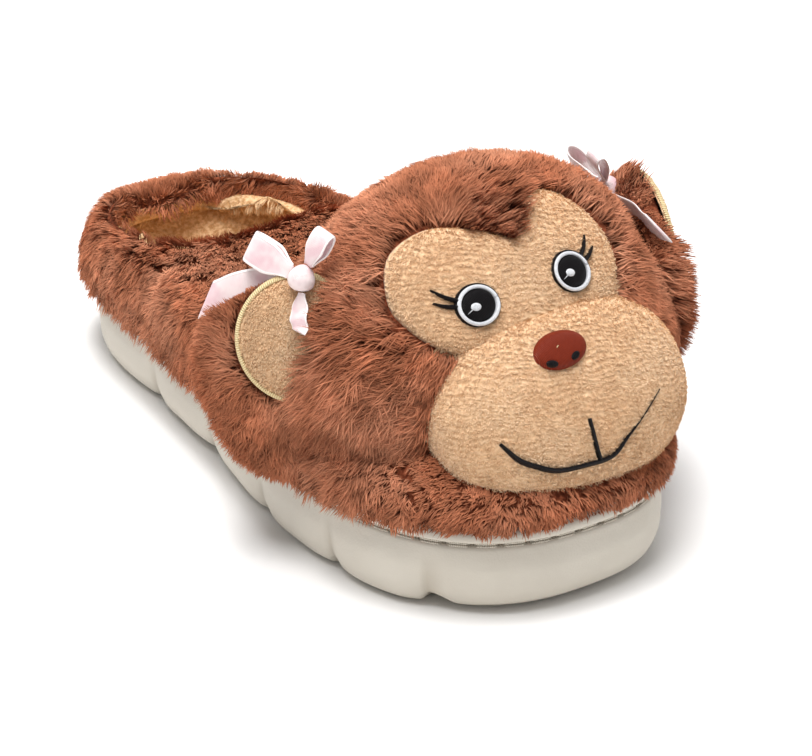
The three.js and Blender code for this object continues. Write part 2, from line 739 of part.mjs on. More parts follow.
function ear(frame, side, room) {
  const lock = (point, i, j) => {
    const fromPatch = Math.hypot(point.x + side * EAR_PATCH_INWARD, point.y - EAR_PATCH_RISE);
    const rim = smoothstep(EAR_PATCH_RADIUS + 7, EAR_PATCH_RADIUS + 11, fromPatch);
    const back = point.z < 0 ? 1 : rim;
    return (i + j) % 2 === 0 ? point : point.addScaledVector(point.clone().normalize(), LOCK_PROUD * back);
  };
  const place = frame.matrix.clone().invert();
  const fur = cutForEar(solidOf(earEgg(0, { shape: lock })), frame);
  return geometryOf(room.reduce((solid, piece) => solid.subtract(solidOf(piece.clone().applyMatrix4(place))), fur));
}

function earPatch(frame, side, room) {
  const outer = solidOf(earEgg(PATCH_THICKNESS + 1.5 * CLEARANCE));
  const inner = solidOf(earEgg(1.5 * CLEARANCE));
  const place = frame.matrix.clone().invert();
  const round = 2 * EAR_PATCH_RADIUS;
  const disc = solidOf(prism(ellipse(-side * EAR_PATCH_INWARD, EAR_PATCH_RISE, round, round), 0, EAR_THICKNESS));
  const whole = cutForEar(outer.subtract(inner).intersect(disc), frame);
  const patch = room.reduce((solid, piece) => solid.subtract(solidOf(piece.clone().applyMatrix4(place))), whole);
  const [largest] = patch.decompose().sort((a, b) => b.volume() - a.volume());
  return geometryOf(largest);
}

// Bows: ribbon loops and tails that leave a knot, in a frame whose z points out of the head

function ribbon(centre, width, thickness, slant, steps) {
  const shell = new Shell();
  const rings = [];
  for (let k = 0; k <= steps; k += 1) {
    const share = k / steps;
    const point = centre(share);
    const run = centre(Math.min(share + 0.01, 1)).sub(centre(Math.max(share - 0.01, 0))).normalize();
    const flat = new THREE.Vector3(-run.y, run.x, 0).normalize();
    const out = run.clone().cross(flat).normalize();
    const half = width(share) / 2;
    rings.push(shell.ring([[-1, -1], [1, -1], [1, 1], [-1, 1]].map(([a, b]) => point.clone()
      .addScaledVector(run, a * half * slant * share ** 2)
      .addScaledVector(flat, a * half).addScaledVector(out, (b * thickness) / 2))));
  }
  const middle = (ring) => ring.reduce((sum, k) => sum.add(shell.points[k]), new THREE.Vector3())
    .divideScalar(ring.length);
  shell.fan(rings[0], middle(rings[0]), true);
  rings.reduce((low, high) => {
    shell.strip(low, high);
    return high;
  });
  shell.fan(rings[steps], middle(rings[steps]), false);
  return shell.geometry();
}

// A loop is a flat ring of ribbon, folded over at its far end, open through its middle and
// gathered where it goes into the knot
function bowLoop({ length, width, height }, grow) {
  const shell = new Shell();
  const start = BOW_KNOT / 2 + CLEARANCE;
  const rings = evenTurns(20).map((turn) => {
    const reach = (1 - Math.cos(turn)) / 2;
    const half = (width / 2) * (0.5 + 0.5 * smoothstep(0, 0.5, reach)) + grow;
    const corner = (inset, across) => new THREE.Vector3(
      start + inset + reach * (length - 2 * inset),
      across * half,
      Math.sin(turn) * (height / 2 - inset) * (0.35 + 0.65 * reach),
    );
    const inner = RIBBON_THICKNESS + grow;
    return shell.ring([corner(-grow, 1), corner(-grow, -1), corner(inner, -1), corner(inner, 1)]);
  });
  rings.forEach((ring, k) => shell.strip(ring, rings[(k + 1) % rings.length]));
  return shell.geometry();
}

function bowTail({ length, width, slant }, grow) {
  const start = BOW_KNOT / 2 + CLEARANCE;
  const centre = (share) => new THREE.Vector3(
    start + share * length,
    -0.06 * length * Math.sin(Math.PI * share),
    -BOW_TAIL_DROP * (0.4 + 0.6 * smoothstep(0, 0.25, share)),
  );
  const wide = (share) => width * (0.45 + 0.55 * smoothstep(0, 0.4, share)) + 2 * grow;
  return ribbon(centre, wide, RIBBON_THICKNESS + 2 * grow, slant, 6);
}

function bowKnot(grow) {
  const half = BOW_KNOT / 2 + grow;
  return egg({ x: half, y: half, front: half, back: half }, { around: 14, rows: 7, power: 2.2 });
}

// A bow's frame on the head, and the room that its knot and tails press into the fur
function bowFrame({ side, bowOut, bowRise, bowForward, bowTurn }) {
  const frame = new THREE.Group();
  frame.position.set(side * bowOut, bowRise, bowForward);
  frame.lookAt(side * 3 * bowOut, 2 * bowRise, 4 * bowForward + bowOut);
  frame.rotateZ(bowTurn * DEG);
  frame.translateZ(BOW_LIFT);
  frame.updateMatrix();
  return frame;
}

const bowSpin = ({ side, longTail }, { angle = longTail }) => (side < 0 ? angle : 180 - angle) * DEG;

function bowRoom(frame, sideRow) {
  const tails = BOW_TAILS.map((tail) => bowTail(tail, CLEARANCE).rotateZ(bowSpin(sideRow, tail)));
  const loops = BOW_LOOPS.map((loop) => bowLoop(loop, CLEARANCE).rotateZ(bowSpin(sideRow, loop)));
  return [bowKnot(CLEARANCE), ...tails, ...loops].map((piece) => piece.applyMatrix4(frame.matrix));
}

// Colours and finishes
const finish = (color, roughness) => new THREE.MeshStandardMaterial({ color, roughness, metalness: 0 });
const FUR = finish('#8f5439', 0.95);
const PLUSH = finish('#dcb488', 0.95);
const FOAM = finish('#d6cfc1', 0.6);
const SATIN = finish('#f2dbd8', 0.35);
const NOSE_THREAD = finish('#8a351f', 0.7);
const EYE_THREAD = finish('#17151a', 0.6);
const LINING = finish('#c99f6d', 0.95);

const slipper = new THREE.Group();

function add(parent, name, geometry, material) {
  const mesh = new THREE.Mesh(geometry, material);
  mesh.name = name;
  parent.add(mesh);
  return mesh;
}

add(slipper, 'outsole', outsole(), FOAM);
add(slipper, 'insole', insole(), LINING);
add(slipper, 'upper', upper(), FUR);
slipper.add(headFrame);
const bowFrames = SIDES.map(bowFrame);
const bowRooms = SIDES.map((sideRow, k) => bowRoom(bowFrames[k], sideRow));
add(headFrame, 'head_hood', headHood(bowRooms.flat()), FUR);
add(headFrame, 'face_panel', facePanel(), PLUSH);
add(headFrame, 'muzzle', muzzle(), PLUSH);
add(headFrame, 'nose', nose(), NOSE_THREAD);

SIDES.forEach((sideRow, row) => {
  const { side, name } = sideRow;
  add(headFrame, `eye_${name}`, eye(side), EYE_THREAD);
  const frame = earFrame(sideRow);
  headFrame.add(frame);
  add(frame, `ear_${name}`, ear(frame, side, bowRooms[row]), FUR);
  add(frame, `ear_patch_${name}`, earPatch(frame, side, bowRooms[row]), PLUSH);
  const bow = bowFrames[row];
  headFrame.add(bow);
  add(bow, `bow_knot_${name}`, bowKnot(0), SATIN);
  BOW_LOOPS.forEach((loop) => {
    add(bow, `bow_loop_${loop.name}_${name}`, bowLoop(loop, 0), SATIN).rotation.z = bowSpin(sideRow, loop);
  });
  BOW_TAILS.forEach((tail) => {
    add(bow, `bow_tail_${tail.name}_${name}`, bowTail(tail, 0), SATIN).rotation.z = bowSpin(sideRow, tail);
  });
});

slipper.updateMatrixWorld(true);

export default slipper;
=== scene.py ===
"""Animal slipper: a furred mule with a stuffed monkey head on a scalloped foam sole.

Sizes are the slipper's own, in millimetres, and become metres when a mesh is made.
Every surface is a function of two parameters, worked out as whole arrays.
"""

from __future__ import annotations

import logging
import math
from collections.abc import Callable
from dataclasses import dataclass, field
from enum import Enum

import bmesh
import bpy
import numpy as np
from mathutils import Matrix

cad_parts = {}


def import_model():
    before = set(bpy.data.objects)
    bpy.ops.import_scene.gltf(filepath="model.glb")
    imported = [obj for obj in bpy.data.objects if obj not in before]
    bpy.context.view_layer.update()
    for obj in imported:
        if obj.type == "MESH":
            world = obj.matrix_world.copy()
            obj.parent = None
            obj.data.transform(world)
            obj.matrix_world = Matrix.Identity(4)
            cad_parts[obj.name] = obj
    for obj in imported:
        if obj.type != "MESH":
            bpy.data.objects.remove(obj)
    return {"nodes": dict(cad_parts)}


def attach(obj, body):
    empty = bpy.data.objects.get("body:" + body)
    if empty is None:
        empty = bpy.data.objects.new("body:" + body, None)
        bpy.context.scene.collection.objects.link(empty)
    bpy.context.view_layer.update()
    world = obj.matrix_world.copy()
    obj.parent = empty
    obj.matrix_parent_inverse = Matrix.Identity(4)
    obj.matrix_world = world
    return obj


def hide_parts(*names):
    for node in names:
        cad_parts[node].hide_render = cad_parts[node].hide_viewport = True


LOG = logging.getLogger("slipper")
Array = np.ndarray
Colour = tuple[float, float, float, float]
Rule = Callable[[Array, Array], Array]
Measure = Callable[[Array], Array]
MM = 0.001
TAU = 2 * math.pi


class Side(Enum):
    """The wearer's right or left side of the head, as the sign of its across direction."""

    RIGHT = -1
    LEFT = 1

    @property
    def word(self) -> str:
        """The side's name in the pieces' names."""
        return self.name.lower()


def smooth(low: float, high: float, value: Array) -> Array:
    """An S-shaped step: 0 at low, 1 at high, and 3t^2 - 2t^3 between them.

    Args:
        low: where the step starts.
        high: where it ends, which may be below low.
        value: the values to read it at.

    Returns:
        The step's height, from 0 to 1.
    """
    t = np.clip((np.asarray(value, float) - low) / (high - low), 0, 1)
    return t * t * (3 - 2 * t)


def unit(vectors: Array) -> Array:
    """Vectors over their own lengths."""
    return vectors / np.maximum(np.linalg.norm(vectors, axis=-1, keepdims=True), 1e-9)


def stack(*parts: Array) -> Array:
    """Coordinates as one array of points, each part spread to the same shape."""
    return np.stack(np.broadcast_arrays(*parts), axis=-1).astype(float)


def raised(plan: Array, height: Array | float) -> Array:
    """Plan places with a height."""
    return stack(plan[..., 0], plan[..., 1], height)


def around(count: int) -> Array:
    """Turns that share a full circle evenly."""
    return np.arange(count) / count * TAU


def run_along(path: Array) -> Array:
    """How far along a path each of its points lies."""
    return np.concatenate([[0], np.cumsum(np.linalg.norm(np.diff(path, axis=0), axis=1))])


def signed_power(value: Array, power: float) -> Array:
    """A power that keeps its value's sign."""
    return np.sign(value) * np.abs(value) ** power


def through(rows: Array, at: Array) -> Array:
    """A smooth curve through the rows of a table, level at both ends.

    Between two rows it is the cubic that meets both with the slope of their neighbours' chord.

    Args:
        rows: one row per known place, with the place first and its values after it.
        at: the places to read.

    Returns:
        The values at each place, with one column per value column.
    """
    rows = np.asarray(rows, float)
    at = np.asarray(at, float)
    xs, ys = rows[:, 0], rows[:, 1:]
    slope = np.zeros_like(ys)
    slope[1:-1] = (ys[2:] - ys[:-2]) / (xs[2:] - xs[:-2])[:, None]
    k = np.clip(np.searchsorted(xs, at, side="right") - 1, 0, len(xs) - 2)
    span = (xs[k + 1] - xs[k])[..., None]
    t = np.clip((at[..., None] - xs[k][..., None]) / span, 0, 1)
    t2, t3 = t * t, t * t * t
    rise = (t3 - 2 * t2 + t) * span * slope[k] + (t3 - t2) * span * slope[k + 1]
    return (2 * t3 - 3 * t2 + 1) * ys[k] + (3 * t2 - 2 * t3) * ys[k + 1] + rise


# Shader graphs


def linear(code: str) -> Colour:
    """A hex colour as the linear values that shaders take: each channel c is ((c + 0.055) / 1.055)^2.4."""
    parts = [int(code[k : k + 2], 16) / 255 for k in (1, 3, 5)]
    values = [c / 12.92 if c <= 0.04045 else ((c + 0.055) / 1.055) ** 2.4 for c in parts]
    return (values[0], values[1], values[2], 1.0)


class Signal:
    """A shader socket whose arithmetic adds Math nodes to its graph."""

    def __init__(self, graph: Graph, socket: bpy.types.NodeSocket) -> None:
        """Keeps the graph and the socket that the value leaves."""
        self.graph = graph
        self.socket = socket

    def _math(self, operation: str, first: object, second: object) -> Signal:
        """One Math node on two values or sockets."""
        return self.graph.node("ShaderNodeMath", {"operation": operation}, {0: first, 1: second})

    def __add__(self, other: object) -> Signal:
        """Sum."""
        return self._math("ADD", self, other)

    def __radd__(self, other: object) -> Signal:
        """Sum with a number first."""
        return self._math("ADD", other, self)

    def __sub__(self, other: object) -> Signal:
        """Difference."""
        return self._math("SUBTRACT", self, other)

    def __mul__(self, other: object) -> Signal:
        """Product."""
        return self._math("MULTIPLY", self, other)

    def apply(self, operation: str) -> Signal:
        """A Math node of this value alone."""
        return self.graph.node("ShaderNodeMath", {"operation": operation}, {0: self})

    def step(self, low: float, high: float) -> Signal:
        """A smooth step from 0 at low to 1 at high."""
        sockets = {"Value": self, "From Min": low, "From Max": high}
        return self.graph.node("ShaderNodeMapRange", {"interpolation_type": "SMOOTHSTEP"}, sockets)


class Graph:
    """The node tree of one material."""

    def __init__(self, name: str) -> None:
        """Makes an empty material."""
        self.material = bpy.data.materials.new(name)
        self.material.use_nodes = True
        self.tree = self.material.node_tree
        self.tree.nodes.clear()

    def node(self, kind: str, settings: dict, sockets: dict, output: int | str = 0) -> Signal:
        """Adds any node.

        Args:
            kind: the node's type.
            settings: its properties, set first; "stops" holds a ramp's places and colours.
            sockets: values or signals for its inputs, by name or number.
            output: the output that the signal leaves by.

        Returns:
            The signal from that output.
        """
        node = self.tree.nodes.new(kind)
        for key, value in settings.items():
            if key == "stops":
                for k, (place, colour) in enumerate(value):
                    fresh = k >= len(node.color_ramp.elements)
                    stop = node.color_ramp.elements.new(place) if fresh else node.color_ramp.elements[k]
                    stop.position, stop.color = place, colour
            else:
                setattr(node, key, value)
        for key, value in sockets.items():
            if isinstance(value, Signal):
                self.tree.links.new(value.socket, node.inputs[key])
            else:
                node.inputs[key].default_value = value
        return Signal(self, node.outputs[output])

    def place(self) -> Signal:
        """The point's own place in metres."""
        return self.node("ShaderNodeTexCoord", {}, {}, "Object")

    def chart(self) -> tuple[Signal, Signal]:
        """The two coordinates of the piece's own map."""
        whole = self.node("ShaderNodeUVMap", {"uv_map": "chart"}, {})
        node = self.node("ShaderNodeSeparateXYZ", {}, {0: whole}).socket.node
        return Signal(self, node.outputs[0]), Signal(self, node.outputs[1])

    def noise(self, scale: float, detail: float = 2.0, where: Signal | None = None) -> Signal:
        """Cloudy noise of about 0.3 to 0.7, with scale cells to the metre."""
        return self.node(
            "ShaderNodeTexNoise", {}, {"Vector": where or self.place(), "Scale": scale, "Detail": detail}
        )

    def blend(self, share: object, first: object, second: object) -> Signal:
        """A mix of two colours: the first where share is 0 and the second where it is 1."""
        settings = {"data_type": "RGBA", "clamp_factor": True}
        return self.node("ShaderNodeMix", settings, {0: share, 6: first, 7: second}, 2)

    def shade(self, colour: object, factor: Signal) -> Signal:
        """A colour times a grey factor."""
        grey = self.node("ShaderNodeCombineXYZ", {}, {0: factor, 1: factor, 2: factor})
        return self.node("ShaderNodeVectorMath", {"operation": "MULTIPLY"}, {0: colour, 1: grey})

    def finish(self, surface: dict, height: Signal | None = None) -> bpy.types.Material:
        """Ends the graph in a Principled surface.

        Args:
            surface: the shader's inputs by name.
            height: what raises the surface, in metres.

        Returns:
            The material.
        """
        inputs = dict(surface)
        if height is not None:
            sockets = {"Strength": 1.0, "Distance": 1.0, "Height": height}
            inputs["Normal"] = self.node("ShaderNodeBump", {}, sockets)
        shader = self.node("ShaderNodeBsdfPrincipled", {}, inputs)
        output = self.tree.nodes.new("ShaderNodeOutputMaterial")
        self.tree.links.new(shader.socket, output.inputs["Surface"])
        return self.material


@dataclass(frozen=True)
class PileFinish:
    """Fibres that are dark at the root and pale at the tip, partly their own tone and partly painted shade
    deep in the pile, with lighter and darker strands.
    """

    name: str
    root: str
    tip: str
    pale: str
    patches: float = 40.0
    roughness: float = 0.6
    sheen: float = 0.3
    contrast: float = 0.7

    def paint(self) -> bpy.types.Material:
        """Colour by the map: its first coordinate is the strand's chance and its second runs root to tip."""
        graph = Graph(self.name)
        chance, along = graph.chart()
        # Painted shade: the root colour, darker and more saturated than the fibre, stands partly for the
        # shade deep in the pile.
        colour = graph.blend(along.step(-0.15, 0.8), linear(self.root), linear(self.tip))
        cloud = graph.noise(self.patches, 3.0).step(0.42, 0.68)
        colour = graph.blend(cloud * 0.45, colour, linear(self.pale))
        tuft = (graph.noise(self.patches * 4.0, 2.0) - 0.5) * (1.6 * self.contrast)
        colour = graph.shade(colour, 1 - 0.3 * self.contrast + chance * (0.6 * self.contrast) + tuft)
        return graph.finish({
            "Base Color": colour,
            "Roughness": self.roughness,
            "Specular IOR Level": 0.15,
            "Sheen Weight": self.sheen,
            "Sheen Roughness": 0.45,
            "Sheen Tint": linear(self.pale),
        })


@dataclass(frozen=True)
class BackingFinish:
    """The cloth that a pile grows from: cloudy colour and a fine nap."""

    name: str
    dark: str
    light: str
    nap: float = 700.0
    depth: float = 0.0006
    roughness: float = 0.95

    def paint(self) -> bpy.types.Material:
        """Two scales of noise for colour and height."""
        graph = Graph(self.name)
        fine = graph.noise(self.nap, 3.0)
        colour = graph.blend(fine.step(0.35, 0.65), linear(self.dark), linear(self.light))
        colour = graph.shade(colour, 0.8 + graph.noise(45.0) * 0.4)
        height = (fine + graph.noise(self.nap * 0.4) * 1.5) * self.depth
        surface = {"Base Color": colour, "Roughness": self.roughness, "Specular IOR Level": 0.1}
        return graph.finish(surface, height)


@dataclass(frozen=True)
class TerryFinish:
    """Brushed terry: fine wavy rows across the face, broken into short runs, with painted shade in the
    troughs and paler crests.
    """

    name: str
    dark: str
    light: str
    depth: float = 0.00055

    def paint(self) -> bpy.types.Material:
        """The map's first coordinate counts the rows, and noise bends and breaks them."""
        graph = Graph(self.name)
        count, _ = graph.chart()
        bent = (count + graph.noise(150.0, 2.0) * 2.0) * TAU
        row = 0.5 + bent.apply("SINE") * 0.5
        broken = row * 0.35 + graph.noise(560.0, 1.0).step(0.3, 0.7) * 0.65
        fibre = graph.noise(2600.0, 2.0)
        # Painted shade: the colour follows the rows' height, darker in the troughs and paler on the crests.
        colour = graph.blend(0.12 + broken * 0.8 + fibre * 0.12, linear(self.dark), linear(self.light))
        colour = graph.shade(colour, 0.88 + graph.noise(60.0) * 0.24)
        height = broken * self.depth + fibre * 0.00016
        return graph.finish({
            "Base Color": colour, "Roughness": 0.95, "Specular IOR Level": 0.1, "Sheen Weight": 0.25,
        }, height)


@dataclass(frozen=True)
class FoamFinish:
    """Moulded foam: even colour, faint dusty patches, a fine skin texture and painted shade in the valleys
    and the groove.
    """

    name: str = "cream_foam"
    base: str = "#d1cabd"
    # The darker colour serves both the faint dust patches and the painted shade in the valleys and the
    # groove.
    dust_and_shade: str = "#a09482"

    def paint(self) -> bpy.types.Material:
        """The map's first coordinate is how deep in a valley or groove a point lies, and darkens it as
        painted shade.
        """
        graph = Graph(self.name)
        valley_shade, _ = graph.chart()
        base, dust_and_shade = linear(self.base), linear(self.dust_and_shade)
        colour = graph.blend(graph.noise(25.0, 4.0).step(0.35, 0.7) * 0.16, base, dust_and_shade)
        # Painted shade: the valleys and the stitch groove blend towards the darker colour.
        colour = graph.blend(valley_shade * 0.55, colour, dust_and_shade)
        height = graph.noise(1500.0, 4.0) * 0.00009 + graph.noise(240.0, 2.0) * 0.00016
        rough = 0.5 + graph.noise(180.0) * 0.2
        return graph.finish({"Base Color": colour, "Roughness": rough, "Specular IOR Level": 0.4}, height)


@dataclass(frozen=True)
class SatinFinish:
    """Satin ribbon: a glossy weave with fine cross ribs, a woven selvedge and patches of painted fold shade.
    """

    name: str = "pink_satin"
    face: str = "#f0dedd"
    fold_shade: str = "#e2c0c5"
    edge: str = "#faf0ee"

    def paint(self) -> bpy.types.Material:
        """The map runs along the ribbon in millimetres, and across it from 0 to 1."""
        graph = Graph(self.name)
        along, across = graph.chart()
        rib = (along * 11.0).apply("SINE")
        selvedge = (across - 0.5).apply("ABSOLUTE").step(0.40, 0.43)
        # Painted shade: noise patches blend towards the darker fold colour.
        colour = graph.blend(graph.noise(160.0, 2.0).step(0.35, 0.7), linear(self.face), linear(self.fold_shade))
        colour = graph.blend(selvedge, colour, linear(self.edge))
        height = rib * 0.000012 + selvedge * 0.00012
        return graph.finish({
            "Base Color": colour,
            "Roughness": 0.3,
            "Specular IOR Level": 0.6,
            "Sheen Weight": 0.4,
            "Anisotropic": 0.5,
        }, height)


@dataclass(frozen=True)
class ThreadFinish:
    """Satin-stitch embroidery: rows of thread that run across the stitched shape, with painted shade in the
    grooves between threads.
    """

    name: str
    dark: str
    light: str
    pitch: float = 0.42
    roughness: float = 0.45

    def paint(self) -> bpy.types.Material:
        """The map's first coordinate counts millimetres across the threads."""
        graph = Graph(self.name)
        across, _ = graph.chart()
        wobble = graph.noise(500.0) * 0.5
        ridge = 0.5 + ((across + wobble) * (TAU / self.pitch)).apply("SINE") * 0.5
        # Painted shade: the colour follows the threads' ridges, darker in the grooves between them.
        colour = graph.blend(ridge * 0.7 + graph.noise(900.0) * 0.3, linear(self.dark), linear(self.light))
        surface = {"Base Color": colour, "Roughness": self.roughness, "Specular IOR Level": 0.18}
        return graph.finish(surface, ridge * 0.00022)


@dataclass(frozen=True)
class PlainFinish:
    """A pale matt surface with faint clouds, for the floor."""

    name: str = "pale_floor"
    base: str = "#fbfaf9"

    def paint(self) -> bpy.types.Material:
        """Faint noise on the colour."""
        graph = Graph(self.name)
        colour = graph.blend(graph.noise(3.0), linear(self.base), linear("#f6f5f4"))
        return graph.finish({"Base Color": colour, "Roughness": 0.9})


# Meshes


def sheet_faces(rows: int, columns: int) -> Array:
    """The four-sided faces of a grid of points whose last column joins its first, row by row.

    Args:
        rows: how many rows of points there are.
        columns: how many points a row has.

    Returns:
        The point numbers of each face.
    """
    here = np.arange(rows * columns).reshape(rows, columns)
    ahead = np.roll(here, -1, axis=1)
    return np.stack([here[:-1], ahead[:-1], ahead[1:], here[1:]], -1).reshape(-1, 4)


def capped(grid: Array) -> Array:
    """A tube's grid with both ends drawn to their middles, which closes it."""
    middles = [ring.mean(axis=0, keepdims=True) for ring in (grid[0], grid[-1])]
    ends = [np.repeat(middle, grid.shape[1], axis=0) for middle in middles]
    return np.concatenate([ends[:1], grid, ends[1:]])


def make_mesh(
    name: str, points: Array, faces: Array, chart: Array, finishes: list, kinds: Array | None = None
) -> bpy.types.Mesh:
    """Puts points and faces into a mesh with its map and materials.

    Args:
        name: the mesh's name.
        points: the points in millimetres.
        faces: the point numbers of each face, all with as many corners.
        chart: the map's two coordinates at each point.
        finishes: its materials.
        kinds: which material each face has.

    Returns:
        The mesh.
    """
    mesh = bpy.data.meshes.new(name)
    faces = np.ascontiguousarray(faces, np.int32)
    mesh.vertices.add(len(points))
    mesh.vertices.foreach_set("co", (points * MM).astype(np.float32).ravel())
    mesh.loops.add(faces.size)
    mesh.loops.foreach_set("vertex_index", faces.ravel())
    mesh.polygons.add(len(faces))
    mesh.polygons.foreach_set("loop_start", np.arange(0, faces.size, faces.shape[1], dtype=np.int32))
    if kinds is not None:
        mesh.polygons.foreach_set("material_index", kinds.astype(np.int32))
    mesh.update(calc_edges=True)
    layer = mesh.uv_layers.new(name="chart")
    layer.data.foreach_set("uv", chart[faces.ravel()].astype(np.float32).ravel())
    mesh.polygons.foreach_set("use_smooth", np.ones(len(faces), bool))
    for finish in finishes:
        mesh.materials.append(finish)
    return mesh


def tidy(mesh: bpy.types.Mesh) -> None:
    """Joins doubled points and turns every face outwards."""
    work = bmesh.new()
    work.from_mesh(mesh)
    bmesh.ops.remove_doubles(work, verts=work.verts, dist=2e-6)
    bmesh.ops.dissolve_degenerate(work, edges=work.edges, dist=1e-7)
    bmesh.ops.recalc_face_normals(work, faces=work.faces)
    work.to_mesh(mesh)
    work.free()
    mesh.update()


def put(mesh: bpy.types.Mesh, nodes: tuple[str, ...] = ()) -> bpy.types.Object:
    """Makes a piece of a mesh.

    Args:
        mesh: what it is made of.
        nodes: the solids that it stands for.

    Returns:
        The piece, riding on the slipper.
    """
    piece = bpy.data.objects.new(mesh.name, mesh)
    bpy.context.scene.collection.objects.link(piece)
    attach(piece, "root")
    if nodes:
        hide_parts(*nodes)
    LOG.info("%s: %d faces", mesh.name, len(mesh.polygons))
    return piece


def shell(name: str, grid: Array, chart: Array, finishes: list, kinds: Array | None = None) -> bpy.types.Mesh:
    """A closed mesh from a grid of points whose seams and poles are joined.

    Args:
        name: the mesh's name.
        grid: rows of points in millimetres.
        chart: rows of map coordinates.
        finishes: its materials.
        kinds: which material each row of faces has.

    Returns:
        The mesh.
    """
    rows, columns = grid.shape[:2]
    faces = sheet_faces(rows, columns)
    each = None if kinds is None else np.repeat(kinds, len(faces) // (rows - 1))
    mesh = make_mesh(name, grid.reshape(-1, 3), faces, chart.reshape(-1, 2), finishes, each)
    tidy(mesh)
    return mesh


@dataclass
class Surface:
    """A smooth surface given by two parameters, with its frames by small differences."""

    at: Rule
    u_range: tuple[float, float]
    v_range: tuple[float, float]
    heart: Array
    sign: float = 1.0

    def __post_init__(self) -> None:
        """Finds which way is out, from a point inside."""
        u, v = self.lattice(40, 20)
        points, normals, _, _ = self.frames(u, v)
        self.sign = float(np.sign(np.sum(normals * (points - self.heart)))) or 1.0

    def lattice(self, nu: int, nv: int) -> tuple[Array, Array]:
        """Parameters at the middles of nu by nv cells."""
        u = self.u_range[0] + (np.arange(nu) + 0.5) / nu * (self.u_range[1] - self.u_range[0])
        v = self.v_range[0] + (np.arange(nv) + 0.5) / nv * (self.v_range[1] - self.v_range[0])
        return tuple(grid.ravel() for grid in np.meshgrid(u, v, indexing="ij"))

    def frames(self, u: Array, v: Array) -> tuple[Array, Array, Array, Array]:
        """Points, outward normals and both parameter directions, by central differences."""
        du = 1e-3 * (self.u_range[1] - self.u_range[0])
        dv = 1e-3 * (self.v_range[1] - self.v_range[0])
        along_u = (self.at(u + du, v) - self.at(u - du, v)) / (2 * du)
        along_v = (self.at(u, v + dv) - self.at(u, v - dv)) / (2 * dv)
        return self.at(u, v), self.sign * unit(np.cross(along_u, along_v)), along_u, along_v

    def scatter(self, count: int, rng: np.random.Generator, keep: Rule) -> tuple[Array, Array]:
        """Places spread evenly by area.

        Args:
            count: how many places.
            rng: the source of chance.
            keep: how densely a place is filled, from 0 to 1, from its point and normal.

        Returns:
            The parameters of each place.
        """
        nu, nv = 260, 130
        u, v = self.lattice(nu, nv)
        points, normals, along_u, along_v = self.frames(u, v)
        area = np.linalg.norm(np.cross(along_u, along_v), axis=-1) * keep(points, normals)
        cell = rng.choice(len(u), size=count, p=area / area.sum())
        u_step = (self.u_range[1] - self.u_range[0]) / nu
        v_step = (self.v_range[1] - self.v_range[0]) / nv
        return u[cell] + (rng.random(count) - 0.5) * u_step, v[cell] + (rng.random(count) - 0.5) * v_step


